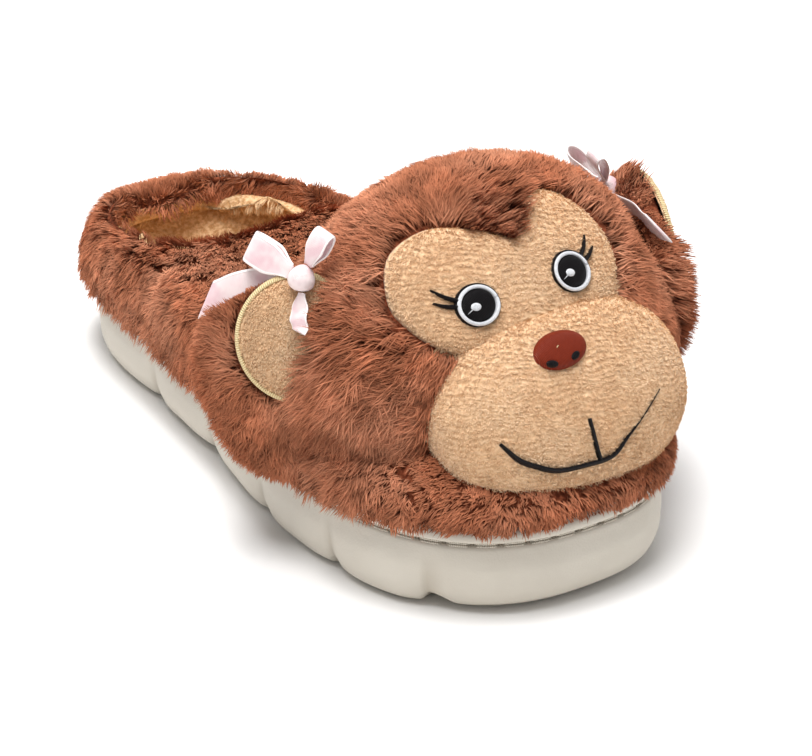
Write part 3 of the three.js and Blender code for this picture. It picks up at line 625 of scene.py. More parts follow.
@dataclass(frozen=True)
class Pile:
    """Combed fibres in locks. Each fibre is a slim kite that bends once and leans towards its lock's tip."""

    strands: int
    length: float
    width: float = 0.46
    lift: float = 50.0
    droop: float = 22.0
    lock: float = 2.2
    lock_size: int = 18
    pull: float = 0.45
    stray: float = 21.0
    swirl: float = 0.5
    seed: int = 1

    def grow(
        self,
        name: str,
        surface: Surface,
        comb: Rule,
        finish: bpy.types.Material,
        keep: Rule,
        stature: Measure = lambda points: np.ones(len(points)),
        hem: Measure = lambda points: np.full(len(points), -1e3),
    ) -> bpy.types.Mesh:
        """Grows the pile on a surface.

        A fibre leaves its root at the lift angle, turns to the droop angle at 0.45 of its length,
        and its tip moves a share of the way to the tip of its lock.

        Args:
            name: the mesh's name.
            surface: what it grows from.
            comb: the direction that it is combed in, from points and normals.
            finish: its material.
            keep: how densely it grows, from points and normals.
            stature: its length as a share of the usual, from points.
            hem: the lowest height that a tip may reach, from points. A fibre that would pass it is cut short.

        Returns:
            The mesh, two triangles to a fibre.
        """
        rng = np.random.default_rng(self.seed)
        locks = max(self.strands // self.lock_size, 1)
        u, v = surface.scatter(locks, rng, keep)
        lock_roots, _, along_u, along_v = surface.frames(u, v)
        lock_turn = rng.normal(0, math.radians(self.stray), locks) + self.swirl * eddies(lock_roots)
        lock_long = rng.uniform(0.78, 1.16, locks)
        owner = np.repeat(np.arange(locks), self.lock_size)
        count = len(owner)
        reach = self.lock * np.sqrt(rng.random(count))
        angle = rng.uniform(0, TAU, count)
        step_u = np.maximum(np.linalg.norm(along_u, axis=-1), 1e-3)[owner]
        step_v = np.maximum(np.linalg.norm(along_v, axis=-1), 1e-3)[owner]
        us = u[owner] + reach * np.cos(angle) / step_u
        vs = np.clip(v[owner] + reach * np.sin(angle) / step_v, *surface.v_range)
        roots, normals, _, _ = surface.frames(us, vs)
        solid = keep(roots, normals) > 0.02
        lock_tip = self.bend(*surface.frames(u, v)[:2], comb, lock_turn, lock_long * self.length, stature)[1]
        turn = lock_turn[owner] + rng.normal(0, math.radians(self.stray), count)
        long = lock_long[owner] * rng.uniform(0.72, 1.12, count) * self.length
        middle, tip, way = self.bend(roots, normals, comb, turn, long, stature)
        lean = (self.pull * rng.uniform(0.5, 1.0, count))[:, None]
        tip = tip + lean * (lock_tip[owner] - tip)
        middle = middle + 0.35 * lean * (lock_tip[owner] - middle) * 0.5
        low = hem(roots) + 1.4 * rng.normal(0, 1, locks)[owner] + 0.7 * rng.normal(0, 1, count)
        cut = np.clip((roots[:, 2] - low) / np.maximum(roots[:, 2] - tip[:, 2], 0.1), 0.25, 1)[:, None]
        cut = np.where((tip[:, 2] < low)[:, None], cut, 1.0)
        tip, middle = roots + cut * (tip - roots), roots + cut * (middle - roots)
        twist = rng.normal(0, 0.55, count)[:, None]
        across = unit(np.cross(way, normals)) * np.cos(twist) + normals * np.sin(twist)
        half = (self.width * rng.uniform(0.35, 0.65, count))[:, None]
        points = np.stack([roots - 0.5 * normals, middle - half * across, middle + half * across, tip], 1)
        chance = np.clip(0.55 * rng.random(locks)[owner] + 0.45 * rng.random(count), 0, 1)
        chart = np.stack([np.stack([chance, np.full(count, h)], -1) for h in (0.0, 0.45, 0.45, 1.0)], 1)
        points, chart = points[solid], chart[solid]
        base = 4 * np.arange(len(points))[:, None]
        faces = np.concatenate([base + [0, 2, 1], base + [1, 2, 3]], 1).reshape(-1, 3)
        return make_mesh(name, points.reshape(-1, 3), faces, chart.reshape(-1, 2), [finish])

    def bend(
        self,
        roots: Array,
        normals: Array,
        comb: Rule,
        turn: Array,
        long: Array,
        stature: Measure,
    ) -> tuple[Array, Array, Array]:
        """Middles, tips and directions of fibres that leave their roots along the comb."""
        flow = comb(roots, normals)
        rise = np.clip(np.sum(unit(flow) * normals, -1), 0, 1)[:, None]
        way = unit(flow - np.sum(flow * normals, -1, keepdims=True) * normals)
        way = way * np.cos(turn)[:, None] + np.cross(normals, way) * np.sin(turn)[:, None]
        long = (long * stature(roots))[:, None]
        lift = math.radians(self.lift) * (1 - rise) + math.radians(75) * rise
        droop = math.radians(self.droop) * (1 - rise) + math.radians(70) * rise
        middle = roots + 0.45 * long * (way * np.cos(lift) + normals * np.sin(lift))
        tip = middle + 0.55 * long * (way * np.cos(droop) + normals * np.sin(droop))
        return middle, tip, way


def eddies(points: Array) -> Array:
    """Slow swirls of about 20 to 60 mm: a sum of sines whose phases bend one another, from -1 to 1."""
    x, y, z = np.moveaxis(points, -1, 0)
    first = np.sin(x / 8.5 + 1.7 * np.sin(y / 12.0) + z / 14.0)
    second = np.sin(y / 7.5 - z / 9.0 + 2.0 * np.sin(x / 16.0))
    third = np.sin(x / 3.6 - y / 4.3 + 1.5 * np.sin(z / 5.0) + 1.2 * np.sin(y / 9.0))
    return 0.4 * (first + second + 0.8 * third)


def path_gap(plan: Array, knots: Array) -> Array:
    """How far each place lies from a smooth path through the knots, by its nearest of many points."""
    rows = np.column_stack([np.arange(len(knots)), knots])
    path = through(rows, np.linspace(0, len(knots) - 1, 8 * len(knots)))
    return np.min(np.linalg.norm(plan[:, None] - path[None], axis=-1), axis=1)


# The slipper's forms


@dataclass
class SoleForm:
    """The sole's outline and side, from the slipper's own sizes."""

    length: float = 270.0
    heel_back: float = 40.0
    toe_swing: float = 5.0
    height: float = 28.5
    footbed: float = 21.0
    rim_wall: float = 6.8
    lobe_depth: float = 2.6
    tread_inset: float = 8.5
    channel: float = 3.0
    heel_power: float = 2.25
    toe_power: float = 2.45
    widths: tuple = ((0.20, 90.0, 0.502), (0.42, 98.0, 0.535), (0.68, 117.0, 0.537))
    valleys: tuple = (0.085, 0.293, 0.463, 0.624, 0.778, 0.915)

    def outline(self, turn: Array) -> Array:
        """Width and medial share by the length table, with superellipse ends and an inflare at the toe."""
        turn = np.asarray(turn, float)
        along = (1 - np.cos(turn)) / 2
        width, share = np.moveaxis(through(self.widths, along), -1, 0)
        heel = np.clip(1 - along / 0.28, 0, 1)
        toe = np.clip((along - 0.72) / 0.28, 0, 1)
        heel_end = np.clip(1 - heel**self.heel_power, 0, 1) ** (1 / self.heel_power)
        toe_end = np.clip(1 - toe**self.toe_power, 0, 1) ** (1 / self.toe_power)
        ends = heel_end * toe_end
        reach = width * np.where(np.sin(turn) >= 0, -share, 1 - share) * ends
        return stack(-self.toe_swing * smooth(0.45, 1, along) + reach, self.heel_back - along * self.length)

    def inset(self, turn: Array, depth: Array | float) -> Array:
        """The outline moved inwards by a depth, square to its own run."""
        run = unit(self.outline(turn + 0.01) - self.outline(turn - 0.01))
        inward = stack(-run[..., 1], run[..., 0])
        return self.outline(turn) + np.asarray(depth)[..., None] * inward

    def ring(self, turn: Array, depth: float, height: float) -> Array:
        """The outline moved inwards by a depth, at a height."""
        return raised(self.inset(turn, depth), height)

    def place_in_lobe(self, turn: Array) -> Array:
        """How far across its lobe a turn is, from 0 at one valley to 1 at the next."""
        medial = np.arccos(1 - 2 * np.array(self.valleys))
        marks = np.concatenate([[-medial[0]], medial, TAU - medial[::-1], [TAU + medial[0]]])
        turn = np.mod(turn, TAU)
        k = np.clip(np.searchsorted(marks, turn, side="right") - 1, 0, len(marks) - 2)
        return (turn - marks[k]) / (marks[k + 1] - marks[k])

    def spring(self, along: Array) -> Array:
        """How far the underside is off the floor at the toe, waist and heel."""
        toe = 1.2 * smooth(0.84, 1, along) ** 1.5
        waist = 1.5 * smooth(0.30, 0.38, along) * smooth(0.62, 0.54, along)
        return toe + 1.6 * smooth(0.06, 0, along) + waist

    def level(self, turn: Array, inset: Array, height: Array, lobe: Array) -> Array:
        """A point of the sole's side, with the lobe's pillow as the cube of the way from its middle."""
        along = (1 - np.cos(turn)) / 2
        edge = np.abs(2 * self.place_in_lobe(turn) - 1)
        plan = self.inset(turn, inset + self.lobe_depth * lobe * edge**3.4)
        lift = self.spring(along) * np.clip(1 - height / self.footbed, 0, 1)
        arch = self.channel * smooth(0.80, 1.0, edge) * (1 - smooth(0, 7, height))
        return raised(plan, height + lift + arch)


@dataclass
class UpperForm:
    """The hollow upper, from its foot above the rim to the rolled collar."""

    sole: SoleForm
    base: float = 34.0
    bulge: float = 1.0
    wall: float = 5.0
    roll: float = 6.0
    collar_back: float = 9.0
    throat: float = 108.0
    collar_width: float = 76.0
    heel: float = 48.0
    side: float = 55.0
    instep: float = 69.0
    table: Array = field(init=False)

    def __post_init__(self) -> None:
        """Works out the height table and the map of heights by plan place."""
        self.table = np.array([
            (0.0, self.heel, 2.2),
            (0.3, 0.55 * self.heel + 0.45 * self.side, 2.2),
            (0.6, self.side, 2.2),
            (0.85, 0.3 * self.side + 0.7 * self.instep, 2.0),
            (1.0, self.instep, 1.9),
        ])
        turn, rise = np.meshgrid(np.linspace(0, TAU, 1800), np.linspace(0, 1, 260), indexing="ij")
        points = self.skin(turn.ravel(), rise.ravel())
        self.heights = np.full((150, 300), -1e3)
        cells = np.round(points[:, :2] + [75, 245]).astype(int)
        np.maximum.at(self.heights, (cells[:, 0], cells[:, 1]), points[:, 2])

    def share(self, turn: Array) -> Array:
        """The way from the heel to the toe, from 0 to 1, the same on both sides."""
        return np.abs(np.mod(np.asarray(turn) + math.pi, TAU) - math.pi) / math.pi

    def collar(self, turn: Array) -> Array:
        """The collar line: an oval from behind the heel to the throat, at the table's height."""
        back, front = self.sole.heel_back - self.collar_back, self.sole.heel_back - self.throat
        y = (back + front) / 2 + (back - front) / 2 * np.cos(turn)
        x = -self.collar_width / 2 * signed_power(np.sin(turn), 0.9)
        return stack(x, y, through(self.table, self.share(turn))[..., 0])

    def skin(self, turn: Array, rise: Array) -> Array:
        """A superellipse section from the foot of the wall, rise 0, to the collar, rise 1."""
        fullness = through(self.table, self.share(turn))[..., 1]
        lean = np.clip(rise, 0, 1) * math.pi / 2
        foot = self.sole.inset(turn, -self.bulge)
        collar = self.collar(turn)
        inward = (1 - np.clip(np.cos(lean), 0, 1) ** (2 / fullness))[..., None]
        upward = np.sin(lean) ** (2 / fullness)
        plan = foot + (collar[..., :2] - foot) * inward
        return raised(plan, self.base + (collar[..., 2] - self.base) * upward)

    def normal(self, turn: Array, rise: Array) -> Array:
        """The outward normal, by differences along and round the section."""
        low, high = np.maximum(rise - 0.03, 0.01), np.minimum(rise + 0.03, 0.97)
        up = self.skin(turn, high) - self.skin(turn, low)
        middle = (low + high) / 2
        return unit(np.cross(self.skin(turn + 0.03, middle) - self.skin(turn - 0.03, middle), up))

    def rolled(self, turn: Array, angle: Array) -> Array:
        """The collar's roll: a circle whose top is the collar line and whose middle is inside it."""
        collar = self.collar(turn)
        foot = self.sole.inset(turn, -self.bulge)
        inward = unit(collar[..., :2] - foot)
        plan = collar[..., :2] + inward * (self.roll * np.cos(angle))[..., None]
        return raised(plan, collar[..., 2] + self.roll * (np.sin(angle) - 1))

    def outside(self, turn: Array, way: Array) -> Array:
        """Way -0.1 to 0 drops below the foot, 0 to 1 is the skin and 1 to 1.25 is the roll."""
        drop = np.clip(way, -1, 0) * 55
        low = self.skin(turn, np.clip(way, 0, 1)) + stack(0, 0, drop)
        angle = math.pi / 2 - np.clip(way - 1, 0, 1) / 0.25 * math.radians(135)
        return np.where((way > 1)[..., None], self.rolled(turn, angle), low)

    def inside(self, turn: Array, rise: Array) -> Array:
        """The inner face of the wall, which is thicker near the collar."""
        wall = self.wall + (2 * self.roll - self.wall) * smooth(0.6, 1, rise)
        normal = np.where((rise >= 1)[..., None], [0.0, 0.0, 1.0], self.normal(turn, rise))
        return self.skin(turn, rise) - wall[..., None] * normal

    def height(self, points: Array) -> Array:
        """The skin's height over a plan place, or far below where there is none."""
        cells = np.clip(np.round(points[..., :2] + [75, 245]).astype(int), 0, [149, 299])
        return self.heights[cells[..., 0], cells[..., 1]]

    def seat(self, points: Array, gap: float = 0.6) -> Array:
        """Points moved up until they clear the upper and the sole by a gap."""
        over = self.height(points)
        low = np.where(over > 0, over + gap, self.sole.height + 2)
        out = points.copy()
        out[..., 2] = np.maximum(points[..., 2], low)
        return out


@dataclass
class HeadForm:
    """The stuffed head in its own frame: across, up the face and out of the face."""

    half_width: float = 62.5
    half_height: float = 55.0
    front: float = 37.5
    back: float = 58.0
    centre: tuple = (-2.0, -168.5, 63.5)
    pitch: float = 31.0
    yaw: float = -9.0
    roll: float = 7.5
    face: float = 3.0
    shift: float = -2.4
    muzzle_width: float = 43.5
    muzzle_height: float = 30.5
    muzzle_depth: float = 20.0
    muzzle_drop: float = 25.0
    muzzle_forward: float = 29.0
    muzzle_power: float = 2.25
    heart: tuple = (
        (0, -0.30), (-0.45, 0), (-0.60, 0.24), (-0.60, 0.42), (-0.50, 0.61), (-0.30, 0.68),
        (-0.10, 0.60), (0.08, 0.47), (0.17, 0.56), (0.28, 0.68), (0.42, 0.67), (0.55, 0.50),
        (0.60, 0.26), (0.52, 0.03), (0.35, -0.14),
    )
    eye_spread: float = 16.7
    eye_rise: float = 10.7
    nose: tuple = (-2.8, -10.3)
    nose_half: tuple = (9.0, 5.8)
    smile: tuple = (
        (-30.8, -30.2), (-27.2, -36.4), (-22.7, -40.1), (-16.3, -43.7), (-6.9, -45.3),
        (2.7, -45.7), (9.3, -41.9), (16.6, -37.8), (25.4, -32.1),
    )
    lip: tuple = ((-2.3, -32.5), (-2.4, -40.8), (-1.6, -46.0))

    def eye(self, side: Side) -> tuple[float, float]:
        """The middle of an eye, across and up."""
        return self.shift + side.value * self.eye_spread, self.eye_rise

    def __post_init__(self) -> None:
        """Works out the frame's three directions and the heart's outline."""
        yaw, pitch, roll = (math.radians(a) for a in (self.yaw, self.pitch, self.roll))
        out = np.array([
            math.sin(yaw) * math.cos(pitch), -math.cos(yaw) * math.cos(pitch), math.sin(pitch),
        ])
        across = np.array([math.cos(yaw), math.sin(yaw), 0.0])
        up = np.cross(out, across)
        turned = across * math.cos(roll) + up * math.sin(roll)
        self.basis = np.stack([turned, np.cross(out, turned), out])
        knots = np.array(self.heart) * [self.half_width, self.half_height] + [self.shift, 0]
        self.outline = self.closed_curve(knots, 12)

    @staticmethod
    def closed_curve(knots: Array, steps: int) -> Array:
        """A closed Catmull-Rom curve through the knots."""
        t = (np.arange(steps) / steps)[None, :, None]
        a, b, c, d = (np.roll(knots, k, axis=0)[:, None] for k in (1, 0, -1, -2))
        cubic = 2 * b + (c - a) * t + (2 * a - 5 * b + 4 * c - d) * t**2 + (3 * b - a - 3 * c + d) * t**3
        return (0.5 * cubic).reshape(-1, knots.shape[1])

    def world(self, local: Array) -> Array:
        """Points of the head's frame in the slipper's."""
        return local @ self.basis + self.centre

    def local(self, world: Array) -> Array:
        """Points of the slipper's frame in the head's."""
        return (world - self.centre) @ self.basis.T

    def halves(self, local: Array, proud: float) -> Array:
        """The half sizes that hold at each point, which differ in front and behind."""
        deep = np.where(local[..., 2] > 0, self.front, self.back) + proud
        return stack(self.half_width + proud, self.half_height + proud, deep)

    def depth(self, local: Array, proud: float = 0.0) -> Array:
        """1 on the head's surface and less inside it."""
        return np.linalg.norm(local / self.halves(local, proud), axis=-1)

    def egg(self, azimuth: Array, polar: Array, proud: float = 0.0) -> Array:
        """The head's ellipsoid by its azimuth and its angle from straight out of the face."""
        ball = stack(np.sin(polar) * np.cos(azimuth), np.sin(polar) * np.sin(azimuth), np.cos(polar))
        return self.world(ball * self.halves(ball, proud))

    def push_out(self, world: Array, proud: float) -> Array:
        """Points moved straight out of the head's middle until they clear it."""
        local = self.local(world)
        depth = np.maximum(self.depth(local, proud), 1e-3)[..., None]
        return self.world(np.where(depth < 1, local / depth, local))

    def heart_gap(self, plan: Array) -> Array:
        """How far outside the heart's outline a place of the face is, negative inside."""
        ring = self.outline
        ahead = np.roll(ring, -1, axis=0)
        gap = np.full(len(plan), 1e9)
        inside = np.zeros(len(plan), bool)
        for a, b in zip(ring, ahead):
            run = b - a
            t = np.clip(((plan - a) @ run) / (run @ run), 0, 1)[:, None]
            gap = np.minimum(gap, np.linalg.norm(plan - a - t * run, axis=-1))
            cross = (a[1] > plan[:, 1]) != (b[1] > plan[:, 1])
            bound = a[0] + run[0] * (plan[:, 1] - a[1]) / (run[1] if abs(run[1]) > 1e-9 else 1e-9)
            inside ^= cross & (plan[:, 0] < bound)
        return np.where(inside, -gap, gap)

    def muzzle_gap(self, local: Array) -> Array:
        """1 on the muzzle's outline seen from in front, more outside it."""
        rise = (local[..., 1] + self.muzzle_drop) / self.muzzle_height
        return np.hypot(local[..., 0] / self.muzzle_width, rise)

    def on_face(self, a: Array, b: Array, lift: Array | float = 0.0) -> Array:
        """Points in the slipper's frame on the face panel, raised by a lift, at places across and up."""
        proud = self.face + lift
        inside = 1 - (a / (self.half_width + proud)) ** 2 - (b / (self.half_height + proud)) ** 2
        return self.world(stack(a, b, (self.front + proud) * np.sqrt(np.maximum(inside, 0))))

    def on_muzzle(self, a: Array, b: Array, lift: Array | float = 0.0) -> Array:
        """Points in the slipper's frame on the muzzle's front, raised by a lift."""
        p = self.muzzle_power
        x = np.abs(a / (self.muzzle_width + lift)) ** p
        y = np.abs((b + self.muzzle_drop) / (self.muzzle_height + lift)) ** p
        z = self.muzzle_forward + (self.muzzle_depth + lift) * np.maximum(1 - x - y, 0) ** (1 / p)
        return self.world(stack(a, b, z))

    def muzzle(self, azimuth: Array, polar: Array) -> Array:
        """The muzzle's super-ellipsoid by azimuth and angle from straight out."""
        e = 2 / self.muzzle_power
        flat = signed_power(np.sin(polar), e)
        deep = np.where(polar < math.pi / 2, self.muzzle_depth, self.muzzle_forward)
        tall = signed_power(np.cos(polar), e) * deep
        x = self.muzzle_width * flat * signed_power(np.cos(azimuth), e)
        y = self.muzzle_height * flat * signed_power(np.sin(azimuth), e) - self.muzzle_drop
        return self.world(stack(x, y, tall + self.muzzle_forward))


# Sub-assemblies


@dataclass
class Palette:
    """Every material of the slipper, made once."""

    fur: bpy.types.Material = field(init=False)

    def __post_init__(self) -> None:
        """Paints each finish."""
        # The piles' root colours are partly painted shade deep in the pile.
        self.fur = PileFinish(
            "brown_fur", "#4a1d10", "#b5704f", "#cc9374",
            patches=34.0, roughness=0.7, sheen=0.1, contrast=0.75,
        ).paint()
        self.fur_ground = BackingFinish("fur_backing", "#5a2918", "#8c4d34").paint()
        self.plush = PileFinish(
            "tan_pile", "#cfa277", "#e8c69f", "#f0dabd", patches=50.0, roughness=0.8, sheen=0.1, contrast=0.2
        ).paint()
        # The terry's darker colour is painted shade in the troughs between its rows.
        self.plush_ground = TerryFinish("tan_terry", "#bf9268", "#efcda6").paint()
        self.lining = PileFinish(
            "lining_pile", "#bd8d5e", "#f3cfa2", "#f8dcb6",
            patches=60.0, roughness=0.8, sheen=0.1, contrast=0.4,
        ).paint()
        lining_ground = BackingFinish("lining_backing", "#c79a6b", "#ebc599", nap=600.0, depth=0.0008)
        self.lining_ground = lining_ground.paint()
        # The foam's darker colour is partly dust patches and partly painted shade in the valleys and the
        # groove.
        self.foam = FoamFinish().paint()
        self.satin = SatinFinish().paint()
        # The threads' darker colours are painted shade in the grooves between the threads.
        self.nose = ThreadFinish("nose_thread", "#611a0b", "#963820").paint()
        self.black = ThreadFinish("black_thread", "#040304", "#161215").paint()
        self.white = ThreadFinish("white_thread", "#d6d9df", "#fbfbfd").paint()
        self.cream = ThreadFinish("edge_thread", "#cfb27c", "#f1e0b4", pitch=0.7).paint()
        self.sole_thread = ThreadFinish("sole_thread", "#b9b0a0", "#e4dccd", pitch=0.6).paint()
        # Painted shade: the dark grey of the stitch holes.
        self.hole = ThreadFinish("stitch_hole_shade", "#5f574c", "#7b7264", pitch=0.8).paint()


@dataclass
class Sole:
    """The moulded outsole with its stitched rim, and the padded insole."""

    form: SoleForm
    palette: Palette
    stations: int = 480
    seam_inset: float = 2.15
    seam_drop: float = 4.3
    seam_back: float = 4.0
    stitch_pitch: float = 8.6
    stitch_radius: float = 0.42
    hole_inset: float = 2.35
    insole_gap: float = 0.3
    insole_top: float = 4.3
    insole_inset: float = 5.6

    @property
    def seam_height(self) -> float:
        """The height of the rim's stitched groove."""
        return self.form.height - self.seam_drop

    def side_rows(self) -> Array:
        """Insets, heights and lobe shares from the tread's edge up the side and over the rim."""
        top = self.form.height
        known = np.array([
            (self.form.tread_inset, 0.0, 1.0), (5.6, 0.5, 1.0), (4.0, 1.4, 1.0), (2.2, 3.0, 1.0),
            (1.2, 5.0, 1.0), (0.35, 7.5, 0.92), (0.0, 10.0, 0.8), (0.0, 12.8, 0.64), (0.1, 15.5, 0.45),
            (0.5, 18.0, 0.27), (1.0, 20.5, 0.1), (1.6, top - 5.3, 0.0), (2.7, top - 4.3, 0.0),
            (1.7, top - 3.3, 0.0), (2.0, top - 1.2, 0.0), (3.6, top, 0.0),
            (self.form.rim_wall - 0.8, top - 0.3, 0.0), (self.form.rim_wall, self.form.footbed, 0.0),
        ])
        rows = np.column_stack([np.arange(len(known)), known])
        return through(rows, np.linspace(0, len(known) - 1, 3 * (len(known) - 1) + 1))

    def deck(self, ring: Array, steps: int) -> Array:
        """Rows from a ring to the line half way between its two sides, for a closed flat end."""
        line = (ring + np.roll(ring[::-1], 1, axis=0)) / 2
        share = np.linspace(0, 1, steps + 1)[:, None, None]
        return ring * (1 - share) + line * share

    def outsole(self) -> None:
        """Tread, side, rim and footbed as one closed grid round the outline."""
        turn = around(self.stations)
        rows = self.side_rows()
        grid = self.form.level(turn[None, :], *(rows[:, k][:, None] for k in range(3)))
        # The map's first coordinate is painted shade: darker at the foot of each valley between the lobes and
        # in the stitch groove.
        edge = np.abs(2 * self.form.place_in_lobe(turn) - 1)[None, :]
        groove = np.exp(-((rows[:, 1] - self.seam_height) ** 2) / 0.5)[:, None]
        valley_shade = smooth(0.86, 1.0, edge) * rows[:, 2][:, None] + groove
        under = self.deck(grid[0], 8)[::-1]
        over = self.deck(grid[-1], 3)[1:]
        grid = np.concatenate([under[:-1], grid, over])
        depth = np.zeros(grid.shape[:2])
        depth[len(under) - 1 : len(under) - 1 + len(rows)] = np.clip(valley_shade, 0, 1)
        chart = stack(depth, grid[..., 2] / self.form.height)
        put(shell("outsole_foam", grid, chart, [self.palette.foam]), ("outsole",))

    def stitches(self) -> None:
        """Thread stitches in the rim's groove: slim capsules along it, with a hole of painted shade at each
        end.
        """
        fine = np.linspace(0, TAU, 4001)
        run = run_along(self.form.inset(fine, self.seam_inset))
        count = int(round(run[-1] / self.stitch_pitch))
        starts = np.arange(count) / count * run[-1]
        share = np.linspace(0, 1, 9)
        reach = (0.8 + share * (run[-1] / count - 1.6))[None, :]
        along = np.interp((starts[:, None] + reach) % run[-1], run, fine)
        ring = np.linspace(0, TAU, 7)[:-1]
        radius = (self.stitch_radius * np.sqrt(np.clip(1 - (2 * share - 1) ** 8, 0, 1)))[:, None]
        centre = self.form.inset(along, self.seam_inset)
        out = unit(centre - self.form.inset(along, self.seam_back))
        plan = centre[:, :, None] + out[:, :, None] * (radius * np.cos(ring))[None, :, :, None]
        starts_at = (np.arange(count) * len(share) * len(ring))[:, None, None]
        every = (sheet_faces(len(share), len(ring))[None] + starts_at).reshape(-1, 4)
        chart = stack(np.tile(np.repeat(share * 7, len(ring)), count), 0.0)
        for name, lift in (("upper", 0.55), ("lower", -0.45)):
            points = raised(plan, self.seam_height + lift + (radius * np.sin(ring))[None]).reshape(-1, 3)
            mesh = make_mesh(f"rim_stitches_{name}", points, every, chart, [self.palette.sole_thread])
            tidy(mesh)
            put(mesh)
        self.shaded_holes(np.interp(starts, run, fine))

    def shaded_holes(self, turn: Array) -> None:
        """A small dimple where each stitch goes into the foam, coloured dark grey as painted shade in the
        hole.
        """
        ring = np.linspace(0, TAU, 9)[:-1]
        centre = self.form.inset(turn, self.hole_inset)
        run = unit(self.form.inset(turn + 0.01, self.hole_inset) - centre)
        plan = centre[:, None] + run[:, None] * (0.75 * np.cos(ring))[None, :, None]
        rim = raised(plan, self.seam_height + 0.95 * np.sin(ring)[None])
        out = unit(centre - self.form.inset(turn, self.seam_back))
        ends = [raised(centre + reach * out, self.form.height - 4.25)[:, None] for reach in (0.25, -0.6)]
        points = np.concatenate([rim, *ends], axis=1)
        here, ahead = np.arange(8), (np.arange(8) + 1) % 8
        cones = [np.stack([here, ahead, here * 0 + 8], 1), np.stack([ahead, here, here * 0 + 9], 1)]
        starts_at = (np.arange(len(turn)) * 10)[:, None, None]
        every = (np.concatenate(cones)[None] + starts_at).reshape(-1, 3)
        chart = np.zeros((len(turn) * 10, 2))
        mesh = make_mesh("rim_hole_shade", points.reshape(-1, 3), every, chart, [self.palette.hole])
        tidy(mesh)
        put(mesh)

    def insole(self) -> None:
        """A crowned pad inside the upper's hem."""
        turn = around(200)
        low, high = self.form.footbed + self.insole_gap, self.form.footbed + self.insole_top
        edge = self.form.rim_wall + self.insole_inset
        rows = [(0.9, low), (0.1, low + 0.8), (0.0, low + 1.8), (0.3, high - 0.8), (1.4, high)]
        rings = np.array([self.form.ring(turn, edge + inset, z) for inset, z in rows])
        top = self.deck(rings[-1], 10)
        share = np.linspace(0, 1, 11)[:, None]
        top[..., 2] -= 0.9 * np.sin(share * math.pi / 2) ** 2
        grid = np.concatenate([self.deck(rings[0], 4)[::-1][:-1], rings[:-1], top])
        chart = stack(grid[..., 0], grid[..., 1])
        piece = put(shell("insole_pad", grid, chart, [self.palette.lining_ground]), ("insole",))

    def build(self) -> None:
        """Makes every piece of the sole."""
        self.outsole()
        self.stitches()
        self.insole()


